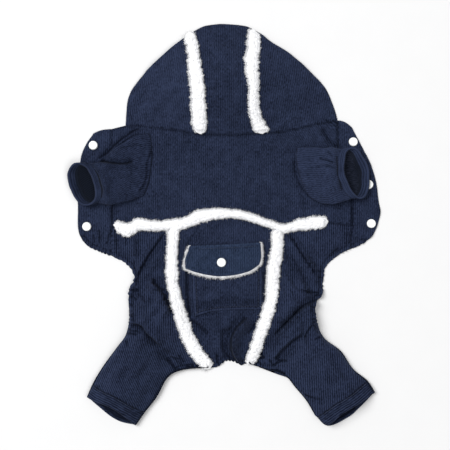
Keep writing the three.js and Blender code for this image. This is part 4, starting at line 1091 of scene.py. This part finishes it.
def build_sleeve(side, sections, outward):
    """A tube of cloth whose root lies over the armhole and whose cuff faces out and up."""
    share = np.linspace(0, 1, SLEEVE_STEPS)
    middle, long, up, half_long, half_thick, to_cuff = sleeve_rings(sections, outward, share)
    angle = np.linspace(0, 2 * math.pi, SLEEVE_AROUND, endpoint=False)
    angles, shares = np.meshgrid(angle, share)
    ripple = SLEEVE_RIPPLE * waves(40 + outward, np.cos(angles) * 2, shares * 4, 1.3)
    hem = smoothstep(SLEEVE_HEM + 0.0006, SLEEVE_HEM - 0.0006, to_cuff)[:, None]
    groove = bump(np.abs(to_cuff - SLEEVE_HEM) / 0.0013)[:, None]

    def ring(extra):
        wide = (half_long[:, None] + extra) * np.cos(angle)
        thick = (half_thick[:, None] + extra) * np.sin(angle)
        return middle[:, None] + long[:, None] * wide[..., None] + up[:, None] * thick[..., None]

    swell = ripple * smoothstep(0, 0.1, share)[:, None] + HEM_HEIGHT * hem - HEM_HEIGHT * groove
    outside = ring(swell)
    thinning = 1 - 0.45 * smoothstep(0.006, 0, to_cuff)[:, None]
    inside = ring(ripple - (CLOTH + 0.0002) * thinning)
    ga, gb = grid_of(outside[..., 0], outside[..., 1])
    upper = smoothstep(0.0, 0.35, np.sin(angle))[None] * (1 - hem)
    # Painted shade in the hem's stitched groove
    dark = 0.7 * groove * np.ones_like(ga)
    drop = np.zeros_like(ga)
    # The folds' painted shade and painted highlights, on the sleeve's upper side only
    for fold in SLEEVE_FOLDS:
        high, painted_dark, painted_highlight = fold_at(fold, ga, gb)
        drop += high * upper
        dark = np.maximum(dark, painted_dark * upper) - painted_highlight * upper
    outside[..., 2] += drop
    inside[..., 2] += np.minimum(drop, 0)
    loops = np.concatenate([outside, inside[::-1]])
    loops[..., 2] = np.maximum(loops[..., 2], CLOTH + GAP)
    points = loops.reshape(-1, 3)
    faces = ring_faces(len(loops), SLEEVE_AROUND, closed=True)
    arc = np.cumsum(np.linalg.norm(np.roll(outside, -1, axis=1) - outside, axis=2), axis=1)
    ribs = np.where(hem > 0.5, to_cuff[:, None], arc)
    cut_row = np.stack([ribs, to_cuff[:, None] * np.ones_like(arc), np.zeros_like(arc)], -1)
    cut = np.concatenate([cut_row, cut_row[::-1]]).reshape(-1, 3)
    hem_shade, deep_shade, all_shade = SLEEVE_SHADES[side]
    # Painted shade all over the left sleeve and painted light all over the right one, and a painted
    # highlight along the cuff's rim
    dark = dark + all_shade - 0.35 * smoothstep(0.0018, 0.0002, to_cuff)[:, None]
    inner_dark = np.broadcast_to(lining_shade(to_cuff, hem_shade, deep_shade)[:, None], arc.shape)
    shade = np.concatenate([dark, inner_dark[::-1]]).ravel()
    made = new_piece(f"sleeve_{side}_cloth", points, orient(points, faces), [f"sleeve_{side}"],
                     [NAVY, NAVY_INSIDE], cut, shade)
    lining_start = SLEEVE_STEPS + int(np.sum(to_cuff < 0.6 * SLEEVE_HEM))
    for k, face in enumerate(made.data.polygons):
        if lining_start * SLEEVE_AROUND <= k < (len(loops) - 1) * SLEEVE_AROUND:
            face.material_index = 1


def lining_shade(to_cuff, hem_shade, deep_shade):
    """Painted shade on a sleeve's inside at distances from its cuff: hem, stitched groove and depth, with a
    painted highlight at the rim.
    """
    lined = smoothstep(0.55 * SLEEVE_HEM, 0.7 * SLEEVE_HEM, to_cuff)
    dark = hem_shade + (deep_shade - hem_shade) * lined
    dark = np.maximum(dark, 0.9 * bump(np.abs(to_cuff - 0.8 * SLEEVE_HEM) / 0.0018))
    dark = np.maximum(dark, 0.95 * smoothstep(0.014, 0.026, to_cuff))
    return dark - 0.5 * smoothstep(0.0016, 0.0002, to_cuff)


def orient(points, faces):
    """Turns every face over if the closed mesh is inside out."""
    quads = np.array(faces)
    v = np.einsum("ij,ij->i", points[quads[:, 0]], np.cross(points[quads[:, 1]], points[quads[:, 2]]))
    w = np.einsum("ij,ij->i", points[quads[:, 0]], np.cross(points[quads[:, 2]], points[quads[:, 3]]))
    return faces if v.sum() + w.sum() > 0 else [f[::-1] for f in faces]


# Fleece strips

def strip_edges(seam, widths, span):
    """The two edges of a strip of varying width along a seam, on the grid."""
    middle = read_line(seam, np.linspace(*span, STRIP_SHARES))
    half = TRIM_WIDTH / 2 / GRID * spread(widths, np.linspace(0, 1, STRIP_SHARES))[:, None]
    side = sideways(middle)
    return middle - side * half, middle + side * half


def ragged_edge(seed, run):
    """How far a strip's pile reaches towards its edge, as a share, at lengths along it."""
    long, short = waves(seed, run, run * 0, 0.011), waves(seed + 5, run, run * 0, 0.0045)
    return STRIP_FILL + (0.05 * long + 0.05 * short)


def fleece_strip(place, edges, seed, fibres):
    """A rounded, lumpy strip of pile between two edges on the grid, with its loose fibres."""
    rng = np.random.default_rng(seed)
    t = np.linspace(0, 1, int(max(length_of(edges[0]), length_of(edges[1])) / STRIP_ROW))
    first, last = read_line(edges[0], t), read_line(edges[1], t)
    middle, half = (first + last) / 2, (last - first) / 2
    run = t * length_of(edges[0])
    from_end = np.minimum(run, run[-1] - run)
    s = np.linspace(-1, 1, STRIP_COLUMNS)
    low, high = ragged_edge(seed - 1, run), ragged_edge(seed + 1, run)
    reach = np.where(s[None] < 0, low[:, None], high[:, None]) * s[None]
    blunt = np.minimum(1, np.sqrt(np.clip(from_end / STRIP_END, 0, 1)) * 0.35 + 0.65)
    plan = middle[:, None] + half[:, None] * (reach * blunt[:, None])[..., None]
    ends = 0.03 * (1 - s ** 2)[:, None]
    for end, further in ((0, 2), (-1, -3)):
        way = plan[end] - plan[further]
        plan[end] += way / np.linalg.norm(way, axis=1, keepdims=True) * ends
    ga, gb = plan[..., 0], plan[..., 1]
    x, y = to_metres(ga, gb)
    ground = base_height(ga, gb) + 0.4 * LAY_GAP
    crown = 0.3 + 0.7 * (np.maximum(0, 1 - s ** 2) ** 0.7)[None]
    lumps = LUMP_HEIGHTS[0] * waves(seed + 2, ga, gb, 0.075, 24)
    lumps = lumps + LUMP_HEIGHTS[1] * waves(seed + 3, ga, gb, 0.04, 24)
    fade = np.minimum(1, 6 * (1 - np.abs(s)))[None]
    tail = np.clip(from_end / STRIP_TAIL, 0.3, 1)[:, None]
    top = ground + (PILE * crown * 0.85 + lumps * fade) * tail
    fleece_piece(f"fleece_{place}", f"trim_{place}", x, y, top, ground, rng, fibres)


def fleece_piece(name, cad_node, x, y, top, ground, rng, fibres, outer_only=False, reach=1.0):
    """A piece of pile between two heights, with its loose fibres."""
    points, faces = slab(x, y, top, ground)
    hair, hair_faces = tufts(rng, np.stack([x, y, top], -1), fibres, len(points), outer_only, reach)
    new_piece(name, np.vstack([points, hair]), faces + hair_faces, [cad_node], [FLEECE])


def tufts(rng, upper, count, start, outer_only, reach):
    """Curly tapered fibres rooted on a grid of surface points, most of them beside its edges."""
    rows, columns = upper.shape[:2]
    last = columns - 1.001
    j = rng.uniform(0, rows - 1.001, count)
    i = rng.uniform(0, 1, count)
    at_edge = rng.uniform(0, 1, count) < EDGE_FIBRES
    beside = np.where(rng.uniform(0, 1, count) < 0.5, i * EDGE_SHARE, 1 - i * EDGE_SHARE)
    i = np.where(at_edge, beside, i) * last
    if outer_only:
        i = (0.8 + 0.2 * i / last) * last
    j0, i0 = j.astype(int), i.astype(int)
    fj, fi = (j - j0)[:, None], (i - i0)[:, None]
    root = (upper[j0, i0] * (1 - fj) * (1 - fi) + upper[j0 + 1, i0] * fj * (1 - fi)
            + upper[j0, i0 + 1] * (1 - fj) * fi + upper[j0 + 1, i0 + 1] * fj * fi)
    out = unit(upper[j0, -1] - upper[j0, 0])
    lean = (i / (columns - 1) * 2 - 1)[:, None]
    way = out * lean * rng.uniform(0.5, 1.6, (count, 1)) + rng.normal(0, 0.45, (count, 3))
    way[:, 2] = np.abs(way[:, 2]) * (1 - 0.8 * lean[:, 0] ** 2) + 0.1
    way = unit(way)
    long = reach * rng.uniform(*FIBRE_LENGTHS, (count, 1))
    bend = rng.normal(0, 0.6, (count, 3))
    thick = rng.uniform(*FIBRE_RADII, (count, 1))
    across = unit(np.cross(way, rng.normal(0, 1, (count, 3))))
    third = np.cross(way, across)
    rings = []
    for share, taper in ((-0.15, 1), (0.5, 0.75)):
        centre = root + way * long * share + bend * long * max(share, 0) ** 2
        for k in range(3):
            angle = 2 * math.pi * k / 3
            rings.append(centre + (across * math.cos(angle) + third * math.sin(angle)) * thick * taper)
    tip = root + way * long + bend * long
    points = np.stack([*rings, tip], 1)
    points[..., 2] = np.maximum(points[..., 2], LOWEST_FIBRE)
    base = start + np.arange(count) * 7
    sides = [(k, (k + 1) % 3, 3 + (k + 1) % 3, 3 + k) for k in range(3)]
    caps = [(3, 4, 6), (4, 5, 6), (5, 3, 6), (2, 1, 0)]
    faces = []
    for corners in sides + caps:
        faces += (base[:, None] + np.array(corners)[None]).tolist()
    return points.reshape(-1, 3), faces


def build_fleece():
    for place, lines, seed, fibres in (
        ("hood_left", FLEECE_HOOD_LEFT, 101, HOOD_FIBRES),
        ("hood_right", FLEECE_HOOD_RIGHT, 111, HOOD_FIBRES),
        ("yoke", FLEECE_YOKE, 121, YOKE_FIBRES),
    ):
        fleece_strip(place, [smooth_line(line) for line in lines], seed, fibres)
    for place, seam, widths, seed in (
        ("back_left", BACK_SEAM_LEFT, BACK_TRIM_WIDTHS_LEFT, 131),
        ("back_right", BACK_SEAM_RIGHT, BACK_TRIM_WIDTHS_RIGHT, 141),
    ):
        fleece_strip(place, strip_edges(smooth_line(seam), widths, (0.015, 1)), seed, BACK_FIBRES)


# Pocket

def build_pocket():
    raised_panel("pouch_cloth", "pocket_pouch", [POUCH_TOP, POUCH_FOOT, POUCH_LEFT, POUCH_RIGHT], LAY_GAP,
                 NAVY, pouch_swell)
    over_pouch = LAY_GAP + POCKET_CLOTH + 2 * GAP + EDGING_LIFT
    raised_panel("flap_cloth", "pocket_flap", [FLAP_TOP, FLAP_FOOT, FLAP_LEFT, FLAP_RIGHT], over_pouch,
                 NAVY_FLAP)
    build_edging()


def pouch_swell(s, t):
    return POUCH_LOFT * bump(np.abs(2 * s - 1)) * bump(np.abs(t - 0.68) / 0.34)


def raised_panel(name, cad_node, borders, base, cloth, swell=None):
    """A stitched panel that lies on the back, between four lines."""
    start, end, left, right = [smooth_line(line) for line in borders]
    s = np.linspace(0, 1, cells(start, end, FINE_CELL) + 1)
    t = np.linspace(0, 1, cells(left, right, FINE_CELL) + 1)
    plan = coons(start, end, left, right, s, t)
    a, b = plan[..., 0], plan[..., 1]
    z = base_height(a, b) + base + 0.5 * CRUMPLE * waves(51, a, b, 0.25)
    edge = np.minimum(np.minimum(s, 1 - s)[None, :] * length_of(start),
                      np.minimum(t, 1 - t)[:, None] * length_of(left))
    rounded = 0.5 * POCKET_CLOTH * bump(edge / 0.002)
    stitched = 0.0004 * bump(np.abs(edge - STITCH_INSET) / 0.0008)
    # Painted shade along the stitched groove and a painted highlight along the rounded rim
    dark = 0.15 * bump(np.abs(edge - STITCH_INSET) / 0.001) - 0.3 * bump(edge / 0.0016)
    if swell is not None:
        z = z + swell(s[None, :], t[:, None])
        # The pouch has stronger painted shade along its stitching, painted shade on the lower slope of its
        # swell and a painted highlight on its rim
        dark = 3 * dark + 0.3 * bump(np.abs(t[:, None] - 0.84) / 0.16)
        dark = np.where(edge < 0.0016, -0.4, dark)
    x, y = to_metres(a, b)
    points, faces = slab(x, y, z + POCKET_CLOTH - rounded - stitched, z)
    new_piece(name, points, faces, [cad_node], [cloth], cut_of(points), dark.ravel())


def build_edging():
    """Fleece showing round the flap's sides and foot."""
    outline = smooth_line(FLAP_LEFT, FLAP_FOOT, FLAP_RIGHT[::-1])
    share = np.linspace(0, 1, EDGING_SHARES)
    path = read_line(outline, share)
    way = unit(path - np.array(FLAP_MIDDLE))
    base = (base_height(path[:, 0], path[:, 1]) + LAY_GAP + POCKET_CLOTH + GAP)[:, None]
    s = np.linspace(-1, 1, 9)
    at_foot = bump(np.abs(np.linspace(-1, 1, EDGING_SHARES)) / 0.8)
    ragged = 1 + 0.25 * waves(152, share, np.zeros(EDGING_SHARES), 0.05)
    wide = ((EDGING_HALF_WIDTH + EDGING_FOOT_EXTRA * at_foot) * ragged)[:, None]
    x, y = to_metres(path[:, :1], path[:, 1:])
    x, y = x + way[:, :1] * wide * s, y + way[:, 1:] * wide * s
    round_top = np.sqrt(np.maximum(0, 1 - s ** 2))[None] * 0.4 + 0.6
    fleece_piece("fleece_flap_edging", "pocket_flap_edging", x, y, base + EDGING_HEIGHT * round_top,
                 np.broadcast_to(base, x.shape), np.random.default_rng(151), EDGING_FIBRES, True, 1.25)


# Stitches

def stitch_row(name, piece, line):
    """A row of thread stitches along a line on the grid, lying on a piece's upper surface."""
    count = max(2, int(length_of(line) / STITCH_PITCH))
    middles = read_line(line, (np.arange(count) + 0.5) / count)
    along = unit(np.gradient(middles, axis=0))
    surface = np.empty(3 * len(piece.data.vertices))
    piece.data.vertices.foreach_get("co", surface)
    surface = surface.reshape(-1, 3)
    x, y = to_metres(middles[:, 0], middles[:, 1])
    points = []
    faces = []
    for k in range(count):
        near = np.hypot(surface[:, 0] - x[k], surface[:, 1] - y[k]) < 2 * FINE_CELL
        if not near.any():
            continue
        z = surface[near, 2].max()
        base = len(points)
        for share, radius, lift in STITCH_RINGS:
            for corner in range(6):
                angle = math.pi * corner / 3
                out = THREAD_RADIUS * radius * math.cos(angle)
                points.append((
                    x[k] + along[k, 0] * share * STITCH_LENGTH - along[k, 1] * out,
                    y[k] + along[k, 1] * share * STITCH_LENGTH + along[k, 0] * out,
                    z + THREAD_RADIUS * (lift + radius * math.sin(angle)),
                ))
        for low in range(base, base + 18, 6):
            for corner in range(6):
                n = (corner + 1) % 6
                faces.append([low + corner, low + 6 + corner, low + 6 + n, low + n])
        faces.append([base + c for c in range(6)])
        faces.append([base + 18 + c for c in range(5, -1, -1)])
    new_piece(name, points, faces, [], [THREAD])


def inset(line, distance):
    """A line moved sideways on the grid, to the left of its direction."""
    return line + distance / GRID * sideways(line)


def build_stitches():
    pieces = bpy.data.objects
    rim = smooth_line(POUCH_LEFT, POUCH_FOOT, POUCH_RIGHT[::-1])
    corners = read_line(rim, np.linspace(0.02, 0.98, 120))
    stitch_row("stitches_pouch", pieces["pouch_cloth"], inset(corners, STITCH_INSET))
    stitch_row("stitches_flap", pieces["flap_cloth"], inset(smooth_line(FLAP_TOP)[4:-4], -STITCH_INSET))
    for side, cuff, turn in (("left", CUFF_TOP_LEFT, 1), ("right", CUFF_TOP_RIGHT, -1)):
        line = read_line(smooth_line(cuff[:4]), np.linspace(0.05, 0.95, 60)) + [0, 0.6 * CUFF_GAPE]
        line = inset(line, turn * HEM_WIDTH * 0.93)
        stitch_row(f"stitches_leg_{side}", pieces[f"leg_{side}_cloth"], line)


# Snaps

def build_snaps():
    for name in frame["nodes"]:
        if name.startswith("snap_") or name == "pocket_snap":
            build_snap(name)


def build_snap(name):
    """A round cap, turned from the snap's profile."""
    low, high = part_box(name)
    cx, cy = (low[0] + high[0]) / 2, (low[1] + high[1]) / 2
    base = high[2] - SNAP_HEIGHT
    points = []
    for share, z in SNAP_PROFILE[1:-1]:
        for k in range(SNAP_AROUND):
            angle = 2 * math.pi * k / SNAP_AROUND
            out = share * (SNAP_DIAMETER / 2)
            points.append((cx + out * math.cos(angle), cy + out * math.sin(angle), base + z))
    bottom, top = len(points), len(points) + 1
    points += [(cx, cy, base + SNAP_PROFILE[0][1]), (cx, cy, base + SNAP_PROFILE[-1][1])]
    loops = len(SNAP_PROFILE) - 2
    faces = ring_faces(loops, SNAP_AROUND)
    for i in range(SNAP_AROUND):
        j = (i + 1) % SNAP_AROUND
        faces.append([bottom, j, i])
        faces.append([top, (loops - 1) * SNAP_AROUND + i, (loops - 1) * SNAP_AROUND + j])
    new_piece(f"{name}_cap", points, faces, [name], [PLASTIC])


# Stage, light and camera

def build_stage():
    mesh = bpy.data.meshes.new("floor")
    corners = [(x * FLOOR_REACH, y * FLOOR_REACH, 0) for x, y in ((-1, -1), (1, -1), (1, 1), (-1, 1))]
    mesh.from_pydata(corners, [], [[0, 1, 2, 3]])
    floor = bpy.data.objects.new("floor", mesh)
    bpy.context.scene.collection.objects.link(floor)
    mesh.materials.append(FLOOR)


def area_light(name, place, size, power):
    """A round lamp that faces the middle of the floor."""
    data = bpy.data.lights.new(name, "AREA")
    data.shape = "DISK"
    data.size = size
    data.energy = power
    lamp = bpy.data.objects.new(name, data)
    bpy.context.scene.collection.objects.link(lamp)
    lamp.location = place
    lamp.rotation_euler = (-Vector(place)).to_track_quat("-Z", "Y").to_euler()


def build_light():
    bpy.context.scene.view_settings.view_transform = "Standard"
    world = bpy.data.worlds.new("studio")
    bpy.context.scene.world = world
    world.use_nodes = True
    sky = world.node_tree.nodes["Background"]
    sky.inputs["Color"].default_value = (1, 1, 1, 1)
    sky.inputs["Strength"].default_value = SKY_STRENGTH
    for name, settings in LAMPS.items():
        area_light(name, *settings)


def build_camera():
    data = bpy.data.cameras.new("camera")
    data.lens = CAMERA_LENS
    data.sensor_width = CAMERA_SENSOR
    camera = bpy.data.objects.new("camera", data)
    bpy.context.scene.collection.objects.link(camera)
    camera.location = CAMERA_PLACE
    camera.rotation_euler = (0, 0, 0)
    bpy.context.scene.camera = camera


build_camera()
build_hood()
build_yoke()
build_bands()
build_back()
build_leg("left", WAIST_LEFT, [BAND_HEM_LEFT, LEG_OUTER_LEFT], [BACK_SEAM_LEFT, LEG_INNER_LEFT],
          CUFF_TOP_LEFT, CUFF_LIP_LEFT, -1)
build_leg("right", WAIST_RIGHT[::-1], [BAND_HEM_RIGHT, LEG_OUTER_RIGHT], [BACK_SEAM_RIGHT, LEG_INNER_RIGHT],
          CUFF_TOP_RIGHT, CUFF_LIP_RIGHT, 1)
build_sleeve("left", SLEEVE_LEFT, -1)
build_sleeve("right", SLEEVE_RIGHT, 1)
build_fleece()
build_pocket()
build_stitches()
build_snaps()
build_stage()
build_light()
